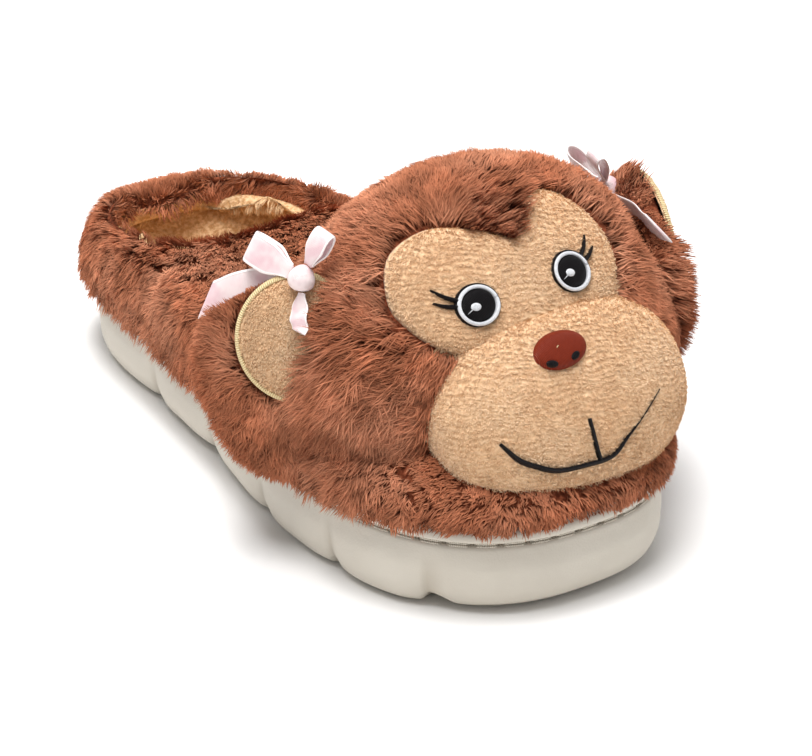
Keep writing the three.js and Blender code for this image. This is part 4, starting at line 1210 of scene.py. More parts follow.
@dataclass
class Upper:
    """The furred mule upper: its cloth wall, lining and fur."""

    form: UpperForm
    head: HeadForm
    palette: Palette
    bow: Bow

    def wall(self) -> None:
        """One closed wall: hem, outer skin, rolled collar, lining and back down to the hem."""
        turn = around(260)
        sole, bed = self.form.sole, self.form.sole.footbed + 0.3
        hem = sole.rim_wall + 0.3
        rows = [(hem, bed), (hem, sole.height + 0.3), (3.0, sole.height + 0.9), (0.0, sole.height + 3)]
        low = np.array([sole.ring(turn, inset, z) for inset, z in rows])
        skin = self.form.skin(*np.meshgrid(turn, np.linspace(0, 1, 36)))
        roll = self.form.rolled(*np.meshgrid(turn, np.radians(np.linspace(80, -45, 8))))
        inside = self.form.inside(*np.meshgrid(turn, np.linspace(0.97, 0.08, 18)))
        foot = np.array([sole.ring(turn, hem + self.form.wall, z) for z in (sole.height, bed)])
        grid = np.concatenate([low, skin, roll, inside, foot, low[:1]])
        kinds = np.zeros(len(grid) - 1, int)
        kinds[len(low) + len(skin) + 4 :] = 1
        chart = stack(grid[..., 1], grid[..., 2])
        finishes = [self.palette.fur_ground, self.palette.lining_ground]
        put(shell("upper_wall", grid, chart, finishes, kinds=kinds), ("upper",))

    def comb(self, points: Array, normals: Array) -> Array:
        """Down the wall and a little back, and out over the collar's edge."""
        collar = smooth(8, 1, self.crest(points))
        outward = points - np.array([0, -20, 0])
        outward[:, 2] = 0
        away = unit(outward) + [0, 0, -0.2]
        down = np.array([0, 0.35, -1.0])
        return down * (1 - collar[:, None]) + away * collar[:, None]

    def crest(self, points: Array) -> Array:
        """How far a point lies below the collar line beside it."""
        turn = np.arctan2(-(points[:, 0]) / (self.form.collar_width / 2), (points[:, 1] + 18.5) / 49.5)
        return through(self.form.table, self.form.share(turn))[..., 0] - points[:, 2]

    def shown(self, points: Array, normals: Array) -> Array:
        """Full where the head doesn't cover the upper, and thin under it."""
        depth = self.head.depth(self.head.local(points), 0.0)
        return smooth(0.90, 0.99, depth)

    def fur(self) -> None:
        """Long fur outside and over the collar, in two halves."""
        centre = np.array([-2.0, -95.0, 30.0])
        for name, low, high, seed in (("medial", 0.0, math.pi, 11), ("lateral", math.pi, TAU, 12)):
            surface = Surface(self.form.outside, (low, high), (-0.06, 1.16), centre)
            pile = Pile(strands=56000, length=8.6, width=0.5, lift=44, droop=14, seed=seed)
            mesh = pile.grow(
                f"upper_fur_{name}", surface, self.comb, self.palette.fur, self.shown, self.stature, self.hem
            )
            put(mesh)

    def stature(self, points: Array) -> Array:
        """Shorter at the collar's edge, over the toe, under the muzzle and under the near bow's tail."""
        collar = 0.66 + 0.34 * smooth(2, 12, self.crest(points))
        toe = 1 - 0.44 * smooth(-180, -208, points[:, 1])
        heel = 1 - 0.15 * smooth(20, 40, points[:, 1])
        under = 1 - 0.45 * smooth(35, 44, points[:, 2]) * smooth(-180, -200, points[:, 1])
        return collar * toe * heel * under * self.bow.press(points)

    def hem(self, points: Array) -> Array:
        """Where the fur's lower edge hangs: over the rim on both sides, and above it at the toe and heel."""
        along = (self.form.sole.heel_back - points[:, 1]) / self.form.sole.length
        rows = [
            (0.0, 25.5), (0.12, 25.8), (0.22, 24.0), (0.34, 22.6), (0.44, 24.2),
            (0.6, 22.4), (0.75, 24.0), (0.86, 26.5), (0.95, 29.4), (1.0, 29.8),
        ]
        return through(rows, np.clip(along, 0, 1))[..., 0]

    def lining(self) -> None:
        """Short pile on the inner wall behind the opening."""
        surface = Surface(self.form.inside, (0.0, TAU), (0.25, 0.97), np.array([-2.0, -60.0, 34.0]))
        surface.sign *= -1
        pile = Pile(strands=15000, length=3.4, width=0.55, lift=55, droop=30, lock=1.3, lock_size=10, seed=21)
        near = lambda points, normals: smooth(-115, -95, points[:, 1])
        down = lambda points, normals: np.tile([0.0, 0.0, -1.0], (len(points), 1))
        put(pile.grow("upper_lining", surface, down, self.palette.lining, near))

    def build(self) -> None:
        """Makes every piece of the upper."""
        self.wall()
        self.fur()
        self.lining()


@dataclass
class Head:
    """The stuffed head: hood, face panel and muzzle."""

    form: HeadForm
    upper: UpperForm
    palette: Palette
    bows: list[Bow]
    row_pitch: float = 1.7

    def ground(self) -> None:
        """The hood's cloth: the head's ellipsoid, seated on the upper."""
        azimuth, polar = np.meshgrid(around(160), np.linspace(0, math.pi, 90))
        grid = self.upper.seat(self.form.egg(azimuth, polar))
        mesh = shell("head_backing", grid, stack(azimuth, polar), [self.palette.fur_ground])
        piece = put(mesh, ("head_hood",))

    def shown(self, points: Array, normals: Array) -> Array:
        """Full outside the heart, the muzzle and the upper, and none inside them."""
        local = self.form.local(points)
        front = local[:, 2] > 0
        face = np.where(front, smooth(-0.9, 0.1, self.form.heart_gap(local[:, :2])), 1.0)
        muzzle = np.where(front, smooth(0.97, 1.0, self.form.muzzle_gap(local)), 1.0)
        above = smooth(-1.5, 0.5, points[:, 2] - self.upper.height(points))
        clear = smooth(self.upper.sole.height, self.upper.sole.height + 2, points[:, 2])
        return face * muzzle * above * clear

    def comb(self, points: Array, normals: Array) -> Array:
        """Back from the face and out from its middle, falling on the sides, and down at the forelock."""
        local = self.form.local(points)
        radial = unit(local * [1, 1, 0])
        flow = radial * 0.5 + np.array([0, 0, -1.0])
        world = flow @ self.form.basis + np.array([0, 0, -0.45])
        near = np.exp(-np.sum(((local[:, :2] - [1.0, 33.0]) / [1.25, 1.0]) ** 2, axis=1) / 190)
        turn = math.radians(165) * np.clip(1.25 * near, 0, 1) * (local[:, 2] > 0)
        normals = unit(normals)
        swept = np.cross(normals, world) * -np.sin(turn)[:, None]
        return world * np.cos(turn)[:, None] + swept

    def fur(self) -> None:
        """Long fur over the hood, in an upper and a lower half."""
        centre = np.array(self.form.centre)
        halves = (("upper", 62000, (0.0, math.pi), 31), ("lower", 34000, (math.pi, TAU), 32))
        for name, strands, azimuths, seed in halves:
            surface = Surface(self.form.egg, azimuths, (0.02, math.pi - 0.02), centre)
            pile = Pile(strands=strands, length=9.0, width=0.5, seed=seed)
            mesh = pile.grow(
                f"head_fur_{name}", surface, self.comb, self.palette.fur, self.shown, self.stature
            )
            put(mesh)

    def stature(self, points: Array) -> Array:
        """Longer by the near ear, shorter on the crown and the far side, and pressed by the bows."""
        local = self.form.local(points)
        side = smooth(-40, -56, local[:, 0]) * smooth(48, 36, local[:, 1]) * smooth(-25, 5, local[:, 1])
        crown = smooth(28, 50, local[:, 1])
        far = smooth(34, 52, local[:, 0])
        press = np.prod([bow.press(points) for bow in self.bows], axis=0)
        return (0.9 + 0.15 * smooth(-40, -58, local[:, 0]) + 0.5 * side - 0.12 * crown - 0.32 * far) * press

    def panel(self, share: Array, turn: Array) -> Array:
        """The heart panel by the share of the way from its middle to its edge and a turn, with a soft rim."""
        middle = np.array([self.form.shift + 0.5, 9.0])
        spokes = self.form.outline - middle
        angle = np.unwrap(np.arctan2(spokes[:, 1], spokes[:, 0]))
        order = np.argsort(np.mod(angle, TAU))
        lengths = np.linalg.norm(spokes, axis=1)[order]
        edge = np.interp(np.mod(turn, TAU), np.mod(angle, TAU)[order], lengths, period=TAU)
        a = middle[0] + share * edge * np.cos(turn)
        b = middle[1] + share * edge * np.sin(turn)
        return self.form.on_face(a, b, -self.form.face * (1 - np.sqrt(np.clip(1 - share**10, 0, 1))))

    def face_panel(self) -> None:
        """A thin closed pad on the hood, with its pile."""
        turn, share = np.meshgrid(around(200), np.sin(np.linspace(0, math.pi / 2, 26)))
        top = self.panel(share, turn)
        centre = np.array(self.form.centre)
        under = centre + (top[::-1] - centre) * 0.955
        grid = np.concatenate([top, under])
        chart = stack(self.rows(grid), 0.0)
        put(shell("face_panel_pad", grid, chart, [self.palette.plush_ground]), ("face_panel",))
        surface = Surface(self.panel, (0.01, 0.985), (0.0, TAU), centre)
        self.fuzz("face_panel_pile", surface, 22000, 41, self.open_face)

    def fuzz(self, name: str, surface: Surface, strands: int, seed: int, keep: Rule) -> None:
        """The short brushed fuzz of the face and muzzle, which stands on the rows."""
        pile = Pile(
            strands=strands, length=1.0, width=0.22, lift=60, droop=35,
            lock=0.5, lock_size=2, pull=0.1, stray=30, swirl=0.25, seed=seed,
        )
        put(pile.grow(name, surface, self.nap, self.palette.plush, keep, self.ridges))

    def open_face(self, points: Array, normals: Array) -> Array:
        """Full where neither the muzzle nor an eye covers the panel."""
        local = self.form.local(points)
        keep = smooth(0.90, 0.97, self.form.muzzle_gap(local))
        for side in Side:
            eye = local[:, :2] - np.array(self.form.eye(side))
            keep = keep * smooth(6.4, 7.0, np.linalg.norm(eye, axis=-1))
        return keep

    def nap(self, points: Array, normals: Array) -> Array:
        """The tan pile lies down the face and a little to its side."""
        return np.tile(np.array([-0.25, -1.0, 0.0]) @ self.form.basis, (len(points), 1))

    def rows(self, points: Array) -> Array:
        """Which row of the terry a point lies on: rows across the face, with two slow waves."""
        a, b, c = np.moveaxis(self.form.local(points), -1, 0)
        wave = 0.5 * np.sin(a * 0.45) + 0.6 * np.sin(a * 0.21 + b * 0.3)
        return (b + 0.35 * c + 0.25 * a + wave) / self.row_pitch

    def ridges(self, points: Array) -> Array:
        """Fuzz that is a little taller on the crest of each row."""
        return 0.85 + 0.2 * np.sin(self.rows(points) * TAU)

    def muzzle(self) -> None:
        """The stuffed muzzle, seated on the hood and the toe, with its pile."""
        azimuth, polar = np.meshgrid(around(170), np.linspace(0, math.pi, 80))
        grid = self.form.muzzle(azimuth, polar)
        grid = self.upper.seat(self.form.push_out(grid, 0.4))
        chart = stack(self.rows(grid), 0.0)
        piece = put(shell("muzzle_pad", grid, chart, [self.palette.plush_ground]), ("muzzle",))
        middle = self.form.world(np.array([0, -self.form.muzzle_drop, self.form.muzzle_forward]))
        surface = Surface(self.form.muzzle, (0.0, TAU), (0.02, 2.1), middle)
        self.fuzz("muzzle_pile", surface, 40000, 51, self.open_muzzle)

    def open_muzzle(self, points: Array, normals: Array) -> Array:
        """Full outside the hood and above the toe, and none under the nose and the mouth's stitches."""
        local = self.form.local(points)
        outside = smooth(1.0, 1.03, self.form.depth(local, 0.0))
        above = smooth(-0.5, 1.0, points[:, 2] - self.upper.height(points))
        plan = local[:, :2]
        nose = np.linalg.norm((plan - self.form.nose) / self.form.nose_half, axis=-1)
        mouth = np.minimum(path_gap(plan, np.array(self.form.smile)), path_gap(plan, np.array(self.form.lip)))
        return outside * above * smooth(0.97, 1.06, nose) * smooth(0.5, 1.0, mouth)

    def build(self) -> None:
        """Makes every piece of the head but its details."""
        self.ground()
        self.fur()
        self.face_panel()
        self.muzzle()


@dataclass
class Needlework:
    """Embroidered eyes, nose and mouth."""

    form: HeadForm
    palette: Palette

    def dome(
        self,
        name: str,
        on: Callable,
        centre: tuple,
        size: tuple,
        tilt: float,
        height: float,
        finish: bpy.types.Material,
        hole: float = 0.0,
        slot: str = "eye_thread",
        nodes: tuple[str, ...] = (),
    ) -> None:
        """A stitched oval, or a ring where it has a hole.

        Its height is the root of 1 - t^4, where t runs from -1 to 1 between its inner and outer edges.

        Args:
            name: the piece's name.
            on: the surface it lies on.
            centre: its middle, across and up.
            size: its half width and half height.
            tilt: its turn in degrees.
            height: how proud it stands.
            finish: its thread.
            hole: the share of its size that is open.
            slot: not used.
            nodes: the solids it stands for.
        """
        turn, share = np.meshgrid(around(64), np.linspace(hole, 1, 13))
        t = (2 * share - hole - 1) / (1 - hole) if hole else share
        rise = height * np.sqrt(np.clip(1 - np.abs(t) ** 4, 0, 1))
        angle = math.radians(tilt)
        x, y = share * size[0] * np.cos(turn), share * size[1] * np.sin(turn)
        a = centre[0] + x * math.cos(angle) - y * math.sin(angle)
        b = centre[1] + x * math.sin(angle) + y * math.cos(angle)
        top = on(a, b, rise + 0.35)
        low = on(a, b, -1.2)
        across = turn * size[0] if hole else x
        closing = slice(0, 1 if hole else 0)
        grid = np.concatenate([top, low[::-1], top[closing]])
        across = np.concatenate([across, across[::-1], across[closing]])
        put(shell(name, grid, stack(across, 0.0), [finish]), nodes)

    def band(
        self,
        name: str,
        on: Callable,
        knots: list,
        widths: list,
        height: float,
        finish: bpy.types.Material,
        slot: str = "eye_thread",
    ) -> None:
        """A satin-stitched line of changing width along a smooth path.

        Args:
            name: the piece's name.
            on: the surface it lies on.
            knots: places across and up that it passes through.
            widths: its width at each of them.
            height: how proud it stands.
            finish: its thread.
            slot: not used.
        """
        rows = np.column_stack([np.arange(len(knots)), np.array(knots, float), np.array(widths, float)])
        fine = through(rows, np.linspace(0, len(knots) - 1, 14 * (len(knots) - 1) + 1))
        path, width = fine[:, :2], fine[:, 2]
        run = unit(np.gradient(path, axis=0))
        side = np.stack([-run[:, 1], run[:, 0]], -1)
        ring = np.linspace(0, math.pi, 8)
        across = np.cos(ring)[None, :] * (width / 2)[:, None]
        rise = np.sin(ring)[None, :] * (height * np.minimum(width / width.max(), 1))[:, None]
        a = path[:, :1] + side[:, :1] * across
        b = path[:, 1:] + side[:, 1:] * across
        top = on(a, b, rise + 0.3)
        low = on(a[:, ::-1], b[:, ::-1], -1.0)
        grid = capped(np.concatenate([top, low], axis=1))
        length = run_along(path)
        length = np.concatenate([length[:1], length, length[-1:]])
        put(shell(name, grid, stack(length[:, None] + np.zeros(grid.shape[:2]), 0.0), [finish]))

    def eyes(self) -> None:
        """White ring, black disc, pale glint and lashes, for each eye."""
        on, black, white = self.form.on_face, self.palette.black, self.palette.white
        for side in Side:
            s = side.value
            middle = self.form.eye(side)
            lower = (middle[0], middle[1] - 0.2)
            self.dome(f"eye_rim_{side.word}", on, middle, (6.9, 6.7), 8, 0.9, black, 0.88)
            self.dome(f"eye_ring_{side.word}", on, lower, (6.6, 6.4), 8, 1.4, white, 0.79)
            stands_for = (f"eye_{side.word}",)
            self.dome(f"eye_disc_{side.word}", on, middle, (5.5, 5.3), 8, 1.5, black, nodes=stands_for)
            glint = (middle[0] - 1.3, middle[1] - 0.4)
            self.dome(f"eye_glint_{side.word}", on, glint, (1.9, 1.5), -15, 2.0, white)
            streak = [(glint[0] - x, glint[1] - y) for x, y in ((3.2, 1.4), (2.0, 0.8), (1.0, 0.4))]
            self.band(f"eye_streak_{side.word}", on, streak, [0.3, 0.5, 0.5], 1.7, white)
            for k, (angle, long) in enumerate(((31, 8.0), (14, 6.8))):
                turn = math.radians(angle)
                reach = np.array([6.0, 6.0 + 0.5 * long, 6.0 + long])
                sweep = turn + np.array([0, 0.06, 0.15])
                knots = stack(middle[0] + s * reach * np.cos(sweep), middle[1] + reach * np.sin(sweep))
                self.band(f"lash_{k}_{side.word}", on, knots, [1.5, 1.2, 0.5], 1.3, black)

    def nose(self) -> None:
        """A stitched oval with two nostrils and a small cream stitch."""
        on = self.form.on_muzzle
        middle = self.form.nose
        thread = {"slot": "nose_thread"}
        half = self.form.nose_half
        self.dome("nose_stitching", on, middle, half, 3, 1.8, self.palette.nose, nodes=("nose",), **thread)
        for side in Side:
            spot = (middle[0] + side.value * 4.0 - 1.2, middle[1] - 3.0)
            tilt, black = side.value * 22, self.palette.black
            self.dome(f"nostril_{side.word}", on, spot, (2.1, 1.3), tilt, 2.2, black, **thread)
        stitch = [(middle[0] - back, middle[1] + up) for back, up in ((2.6, 0.2), (1.2, 1.4), (0.2, 1.2))]
        self.band("nose_stitch", on, stitch, [0.4, 0.6, 0.3], 2.1, self.palette.cream, **thread)

    def mouth(self) -> None:
        """A wide smile with a short line down from the nose."""
        on, black = self.form.on_muzzle, self.palette.black
        widths = [0.8, 1.4, 1.5, 1.5, 1.5, 1.5, 1.0, 0.4, 0.3]
        self.band("mouth_smile", on, list(self.form.smile), widths, 1.2, black)
        self.band("mouth_line", on, list(self.form.lip), [1.0, 1.3, 1.3], 1.2, black)

    def build(self) -> None:
        """Makes every embroidered piece."""
        self.eyes()
        self.nose()
        self.mouth()


@dataclass
class Ear:
    """A stuffed furred ear with a round tan patch."""

    side: Side
    rise: float
    flare: float
    head: HeadForm
    upper: UpperForm
    palette: Palette
    bow: Bow
    width: float = 62.0
    tall: float = 66.0
    thick: float = 17.0
    out: float = 62.0
    behind: float = 6.0
    tilt: float = 12.0
    patch_radius: float = 19.5
    patch_inward: float = 6.0
    patch_rise: float = 12.0
    power: float = 2.3
    nap: float = 3.0
    lean: float = -0.15
    pile: float = 6.0

    def __post_init__(self) -> None:
        """Works out the ear's own frame inside the head's."""
        s = self.side.value
        flare, tilt = math.radians(self.flare), math.radians(self.tilt)
        level = math.cos(tilt)
        out = np.array([s * math.cos(flare) * level, -math.sin(tilt), math.sin(flare) * level])
        up = unit(np.array([0, 1.0, 0]) - out * out[1])
        self.basis = np.stack([np.cross(up, out), up, out])
        self.origin = np.array([s * self.out, self.rise, -self.behind])

    def world(self, local: Array) -> Array:
        """Points of the ear's frame in the slipper's."""
        return self.head.world(local @ self.basis + self.origin)

    def local(self, world: Array) -> Array:
        """Points of the slipper's frame in the ear's."""
        return (self.head.local(world) - self.origin) @ self.basis.T

    def egg(self, azimuth: Array, polar: Array) -> Array:
        """A super-ellipsoid with a power of 2.3, smaller than the ear by the depth of its fur."""
        e = 2 / self.power
        flat = signed_power(np.sin(polar), e)
        return self.world(stack(
            (self.width / 2 - self.nap) * flat * signed_power(np.cos(azimuth), e),
            (self.tall / 2 - self.nap) * flat * signed_power(np.sin(azimuth), e),
            (self.thick / 2 - 0.5 * self.nap) * signed_power(np.cos(polar), e),
        ))

    def patch_gap(self, local: Array) -> Array:
        """How far outside the patch's edge a place of the ear is."""
        centre = np.array([-self.side.value * self.patch_inward, self.patch_rise])
        return np.linalg.norm(local[..., :2] - centre, axis=-1) - self.patch_radius

    def on_ear(self, x: Array, y: Array, lift: Array | float) -> Array:
        """Points on the ear's front at places of its own frame, raised by a lift."""
        flat = np.abs(x / (self.width / 2)) ** self.power + np.abs(y / (self.tall / 2)) ** self.power
        return self.world(stack(x, y, self.thick / 2 * np.maximum(1 - flat, 0) ** (1 / self.power) + lift))

    def shown(self, points: Array, normals: Array) -> Array:
        """Full outside the patch, the head and the upper."""
        local = self.local(points)
        patch = np.where(local[:, 2] > 0, smooth(0.0, 1.0, self.patch_gap(local)), 1.0)
        clear = smooth(1.0, 1.05, self.head.depth(self.head.local(points), 0.0))
        ground = np.maximum(self.upper.height(points), self.upper.sole.height + 1)
        above = smooth(-1.0, 1.0, points[:, 2] - ground)
        return patch * clear * above

    def comb(self, points: Array, normals: Array) -> Array:
        """Out from the ear's middle and a little down, leaning forward or back."""
        local = self.local(points) * [1, 1, 0]
        flow = unit(local) + np.array([0, 0, self.lean])
        return (flow @ self.basis) @ self.head.basis + np.array([0, 0, -0.35])

    def pad(self) -> None:
        """The ear's stuffed cloth, kept clear of the head and the upper."""
        egg = self.egg(*np.meshgrid(around(110), np.linspace(0, math.pi, 46)))
        grid = self.upper.seat(self.head.push_out(egg, 1.0), 1.0)
        name = f"ear_{self.side.word}"
        mesh = shell(f"{name}_pad", grid, stack(grid[..., 0], grid[..., 2]), [self.palette.fur_ground])
        piece = put(mesh, (name,))

    def fur(self) -> None:
        """Fur round the rim and over the back."""
        surface = Surface(self.egg, (0.0, TAU), (0.02, math.pi - 0.02), self.world(np.zeros(3)))
        seed = 60 + self.side.value
        pile = Pile(strands=20000, length=self.pile, width=0.5, lift=42, droop=10, seed=seed)
        name = f"ear_fur_{self.side.word}"
        put(pile.grow(name, surface, self.comb, self.palette.fur, self.shown, self.bow.press))

    def patch(self) -> None:
        """The tan disc with its pile and its stitched edge."""
        cx, cy = -self.side.value * self.patch_inward, self.patch_rise
        turn, share = np.meshgrid(around(120), np.linspace(0, 1, 22))
        x = cx + share * self.patch_radius * np.cos(turn)
        y = cy + share * self.patch_radius * np.sin(turn)
        rise = -0.6 + 0.8 * np.sqrt(np.clip(1 - share**6, 0, 1))
        top = self.on_ear(x, y, rise)
        grid = np.concatenate([top, self.on_ear(x, y, -1.2)[::-1]])
        name = f"ear_patch_{self.side.word}"
        chart = stack((grid[..., 2] + 0.3 * grid[..., 1]) / 2.1, 0.0)
        put(shell(f"{name}_pad", grid, chart, [self.palette.plush_ground]), (name,))
        radius = self.patch_radius
        disc = lambda u, v: self.on_ear(cx + u * radius * np.cos(v), cy + u * radius * np.sin(v), 0.1)
        surface = Surface(disc, (0.02, 0.93), (0.0, TAU), self.world(np.zeros(3)))
        pile = Pile(
            strands=6000, length=1.2, width=0.28, lift=60, droop=36,
            lock=0.5, lock_size=2, pull=0.1, stray=30, swirl=0.25, seed=70 + self.side.value,
        )
        down = lambda points, normals: np.tile([0.0, 0.0, -1.0], (len(points), 1))
        clear = lambda points, normals: smooth(1.0, 1.04, self.head.depth(self.head.local(points), 0.0))
        put(pile.grow(f"{name}_pile", surface, down, self.palette.plush, clear))
        self.edge(cx, cy)

    def edge(self, cx: float, cy: float) -> None:
        """The cream overlock stitching round the patch: a flat ring with a rounded top."""
        turn, ring = np.meshgrid(around(180), np.linspace(0, TAU, 11))
        radius = self.patch_radius - 0.3 + 0.75 * np.cos(ring)
        grid = self.on_ear(cx + radius * np.cos(turn), cy + radius * np.sin(turn), 0.75 * np.sin(ring))
        chart = stack(turn * self.patch_radius, 0.0)
        put(shell(f"ear_patch_edge_{self.side.word}", grid, chart, [self.palette.cream]))

    def build(self) -> None:
        """Makes every piece of the ear."""
        self.pad()
        self.fur()
        self.patch()


@dataclass
class Bow:
    """A ribbon bow: a knot, two loops and two tails."""

    side: Side
    place: tuple
    turn: float
    long_tail: float
    head: HeadForm
    palette: Palette
    knot: float = 8.0
    lift: float = 6.0
    knot_power: float = 2.2
    thick: float = 1.2
    gap: float = 0.3
    nap: float = 1.0
    slant: float = 0.8
    loops: tuple = (("outer", 18.0, 10.0, 7.0, 134.0), ("inner", 12.5, 7.0, 6.0, 42.0))

    @property
    def tails(self) -> tuple:
        """Each tail's name, length, width, drop below the knot's middle and direction round it."""
        return (("long", 32.0, 10.0, 3.2, self.long_tail), ("short", 12.0, 6.0, 0.2, 256.0))

    def __post_init__(self) -> None:
        """Works out the bow's own frame, whose last direction points out of the head at the knot."""
        s = self.side.value
        out_, rise, forward = self.place
        start = np.array([s * out_, rise, forward])
        aim = unit(np.array([s * 3 * out_, 2 * rise, 4 * forward + out_]) - start)
        across = unit(np.cross([0, 1.0, 0], aim))
        up = np.cross(aim, across)
        angle = math.radians(self.turn)
        first = across * math.cos(angle) + up * math.sin(angle)
        self.basis = np.stack([first, np.cross(aim, first), aim])
        self.origin = start + (self.lift + self.nap) * aim

    def world(self, local: Array, spin: float = 0.0) -> Array:
        """Points of a ribbon that leaves the knot at a spin, in the slipper's frame."""
        angle = math.radians(spin if self.side is Side.RIGHT else 180 - spin)
        x = local[..., 0] * math.cos(angle) - local[..., 1] * math.sin(angle)
        y = local[..., 0] * math.sin(angle) + local[..., 1] * math.cos(angle)
        return self.head.world(stack(x, y, local[..., 2]) @ self.basis + self.origin)

    def press(self, points: Array) -> Array:
        """How much of its height the fur keeps: a quarter under a ribbon, and all of it 11 mm away."""
        keep = np.ones(len(points))
        for length, spin in [(row[1], row[-1]) for row in self.loops + self.tails]:
            start, end = self.world(stack(np.array([0.0, self.knot / 2 + length]), 0.0, -4.0), spin)
            run = end - start
            along = np.clip((points - start) @ run / (run @ run), 0, 1)[:, None]
            gap = np.linalg.norm(points - start - along * run, axis=-1)
            keep = np.minimum(keep, 0.25 + 0.75 * smooth(5.5, 10.5, gap))
        return keep

    def strip(
        self, node: str, centre: Array, across: Array, out: Array, half: Array, closed: bool, spin: float
    ) -> None:
        """A ribbon along a path: a flat lens section with rounded edges.

        Args:
            node: the solid it stands for.
            centre: its middle line.
            across: the direction over its width.
            out: the direction through its thickness.
            half: its half width along the line.
            closed: whether the line is a loop.
            spin: the direction it leaves the knot in.
        """
        ring = np.linspace(0, TAU, 25)[:-1]
        flat = signed_power(np.cos(ring), 0.35)
        fat = np.sin(ring) * 0.5 * self.thick * 0.7
        grid = centre[:, None] + across[:, None] * flat[None, :, None] * half[:, None, None]
        pleat = 0.35 * np.sin(flat * 9)[None, :] * np.clip(1 - half / half.max(), 0, 1)[:, None]
        grid = grid + out[:, None] * (fat[None, :, None] + pleat[..., None])
        run = run_along(centre)
        chart = stack(run[:, None] + 0 * flat[None], (flat[None] + 1) / 2 + 0 * run[:, None])
        if closed:
            grid = np.concatenate([grid, grid[:1]])
            chart = np.concatenate([chart, chart[:1]])
        else:
            grid = capped(grid)
            chart = np.concatenate([chart[:1], chart, chart[-1:]])
        put(shell(f"{node}_ribbon", self.world(grid, spin), chart, [self.palette.satin]), (node,))

    def loop(self, part: str, length: float, width: float, height: float, spin: float) -> None:
        """A drop-shaped ring of ribbon, gathered at the knot."""
        turn = around(64)
        reach = (1 - np.cos(turn)) / 2
        start, half_thick = self.knot / 2 + self.gap, self.thick / 2
        x = start + half_thick + reach * (length - self.thick)
        z = np.sin(turn) * (height / 2 - half_thick) * (0.35 + 0.65 * reach)
        centre = stack(x, 0.0, z)
        run = unit(np.roll(centre, -1, 0) - np.roll(centre, 1, 0))
        across = np.tile([0.0, 1.0, 0.0], (len(turn), 1))
        half = width / 2 * (0.5 + 0.5 * smooth(0, 0.5, reach))
        name = f"bow_loop_{part}_{self.side.word}"
        self.strip(name, centre, across, np.cross(run, across), half, True, spin)

    def tail(self, part: str, length: float, width: float, drop: float, spin: float) -> None:
        """A ribbon that dips below the loops, widens and ends in a slanted cut, with two slow ripples."""
        share = np.linspace(0, 1, 40)
        dip = drop * (0.4 + 0.6 * smooth(0, 0.25, share))
        rise = 2.0 * share**2 - dip + 0.5 * np.sin(4 * math.pi * share) * share
        sway = -0.06 * length * np.sin(math.pi * share)
        centre = stack(self.knot / 2 + self.gap + share * length, sway, rise)
        run = unit(np.gradient(centre, axis=0))
        across = unit(stack(-run[:, 1], run[:, 0], 0.0)) + run * (self.slant * share**2)[:, None]
        half = width / 2 * (0.45 + 0.55 * smooth(0, 0.4, share))
        out = unit(np.cross(run, across))
        self.strip(f"bow_tail_{part}_{self.side.word}", centre, across, out, half, False, spin)

    def middle(self) -> None:
        """The knot: a rounded wrap with two soft creases."""
        azimuth, polar = np.meshgrid(around(48), np.linspace(0, math.pi, 28))
        e = 2 / self.knot_power
        flat, tall = signed_power(np.sin(polar), e), signed_power(np.cos(polar), e)
        radius = self.knot / 2 * (1 - 0.06 * np.cos(azimuth * 3) * np.sin(polar))
        x, y = (radius * flat * signed_power(way(azimuth), e) for way in (np.cos, np.sin))
        grid = stack(x, y, self.knot / 2 * tall)
        chart = stack(azimuth * 4, 0.5)
        name = f"bow_knot_{self.side.word}"
        put(shell(f"{name}_ribbon", self.world(grid), chart, [self.palette.satin]), (name,))

    def build(self) -> None:
        """Makes every piece of the bow."""
        self.middle()
        for row in self.loops:
            self.loop(*row)
        for row in self.tails:
            self.tail(*row)


def posed(thing: bpy.types.Object, right: Array, up: Array, back: Array, place: Array) -> None:
    """Puts a camera or a lamp in the scene, turned to three directions, at a place in metres."""
    pose = np.eye(4)
    pose[:3] = np.column_stack([right, up, back, place])
    thing.matrix_world = Matrix(pose.tolist())
    bpy.context.scene.collection.objects.link(thing)


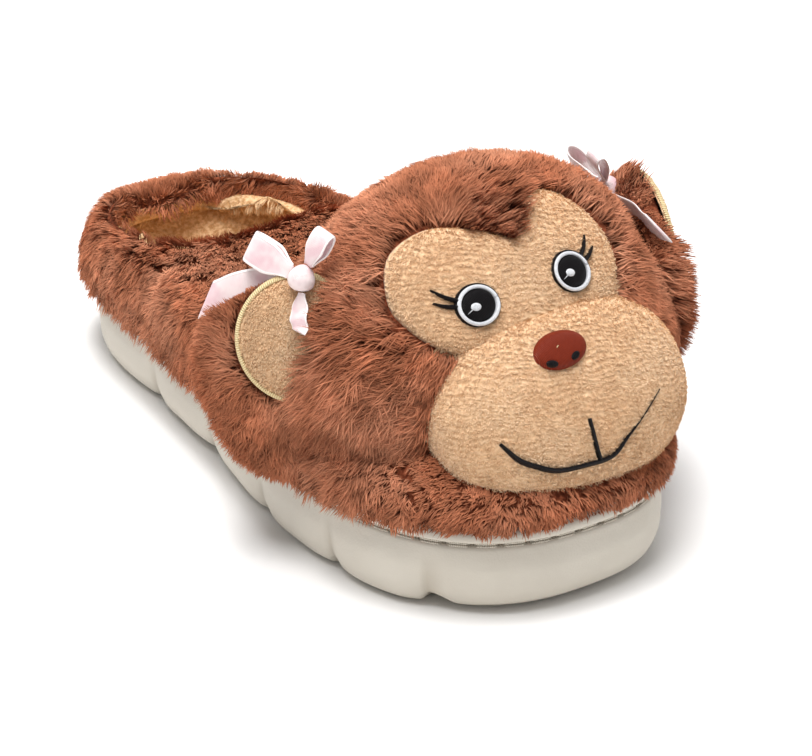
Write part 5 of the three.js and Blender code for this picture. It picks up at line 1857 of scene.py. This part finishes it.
@dataclass
class Studio:
    """Floor, lights and the camera at the photograph's angle."""

    azimuth: float = -36.85
    elevation: float = 25.6
    distance: float = 960.5
    roll: float = 0.7
    target: tuple = (1.29, -121.3, 30.0)
    lens: float = 128.79
    floor_reach: float = 15000.0

    def camera(self) -> None:
        """A long lens aimed from the toe's medial side, rolled a little."""
        a, e, r = (math.radians(v) for v in (self.azimuth, self.elevation, self.roll))
        back = np.array([math.sin(a) * math.cos(e), -math.cos(a) * math.cos(e), math.sin(e)])
        level = np.array([math.cos(a), math.sin(a), 0.0])
        upright = np.cross(back, level)
        right = level * math.cos(r) + upright * math.sin(r)
        up = upright * math.cos(r) - level * math.sin(r)
        data = bpy.data.cameras.new("photo_camera")
        data.lens, data.sensor_width, data.sensor_fit = self.lens, 36.0, "HORIZONTAL"
        data.clip_start, data.clip_end = 0.05, 20.0
        camera = bpy.data.objects.new("photo_camera", data)
        posed(camera, right, up, back, (np.array(self.target) + back * self.distance) * MM)
        bpy.context.scene.camera = camera

    def floor(self) -> None:
        """A wide pale sheet just under the sole."""
        ends = [-self.floor_reach, self.floor_reach]
        corners = stack(*np.meshgrid(ends, ends, indexing="ij"), -0.05).reshape(-1, 3)
        faces, chart = np.array([[0, 2, 3, 1]]), np.zeros((4, 2))
        mesh = make_mesh("studio_floor", corners, faces, chart, [PlainFinish().paint()])
        floor = bpy.data.objects.new("studio_floor", mesh)
        bpy.context.scene.collection.objects.link(floor)

    def light(self, name: str, place: tuple, size: float, power: float) -> None:
        """A square lamp in metres and watts, aimed at the slipper's middle."""
        data = bpy.data.lights.new(name, "AREA")
        data.shape, data.size, data.energy = "SQUARE", size, power
        lamp = bpy.data.objects.new(name, data)
        back = unit(np.array(place) - [0.0, -0.1, 0.04])
        right = unit(np.cross([0.0, 0.0, 1.0], back))
        posed(lamp, right, np.cross(back, right), back, np.array(place))

    def lights(self) -> None:
        """A large key from the upper left, a fill from the right and a bright even sky."""
        self.light("key", place=(-0.55, -0.3, 1.9), size=0.9, power=24.0)
        self.light("fill", place=(1.2, -0.8, 0.9), size=1.4, power=1.5)
        self.light("top", place=(0.1, 0.15, 1.9), size=1.1, power=36.0)
        world = bpy.data.worlds.new("sky")
        world.use_nodes = True
        sky = world.node_tree.nodes["Background"]
        sky.inputs["Color"].default_value = (1.0, 1.0, 1.0, 1.0)
        sky.inputs["Strength"].default_value = 0.34
        bpy.context.scene.world = world
        bpy.context.scene.view_settings.view_transform = "Standard"

    def build(self) -> None:
        """Sets the whole studio."""
        self.camera()
        self.floor()
        self.lights()


def main() -> None:
    """Builds the studio and every sub-assembly in order."""
    logging.basicConfig(level=logging.INFO, format="%(message)s")
    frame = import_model()
    LOG.info("solids: %d", len(frame["nodes"]))
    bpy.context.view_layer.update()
    Studio().build()
    palette = Palette()
    sole = SoleForm()
    upper = UpperForm(sole)
    head = HeadForm()
    Sole(sole, palette).build()
    parts = {"head": head, "palette": palette}
    near_bow = Bow(Side.RIGHT, place=(53.0, 34.5, 8.0), turn=0.0, long_tail=172.0, **parts)
    Upper(upper, head, palette, near_bow).build()
    far_bow = Bow(Side.LEFT, place=(55.5, 30.0, -7.5), turn=-4.0, long_tail=326.0, **parts)
    Head(head, upper, palette, [near_bow, far_bow]).build()
    Needlework(head, palette).build()
    Ear(Side.RIGHT, rise=9.0, flare=52.0, upper=upper, bow=near_bow, **parts).build()
    Ear(Side.LEFT, rise=4.0, flare=12.0, upper=upper, bow=far_bow, lean=1.4, pile=8.5, **parts).build()
    near_bow.build()
    far_bow.build()


if __name__ == "__main__":
    main()
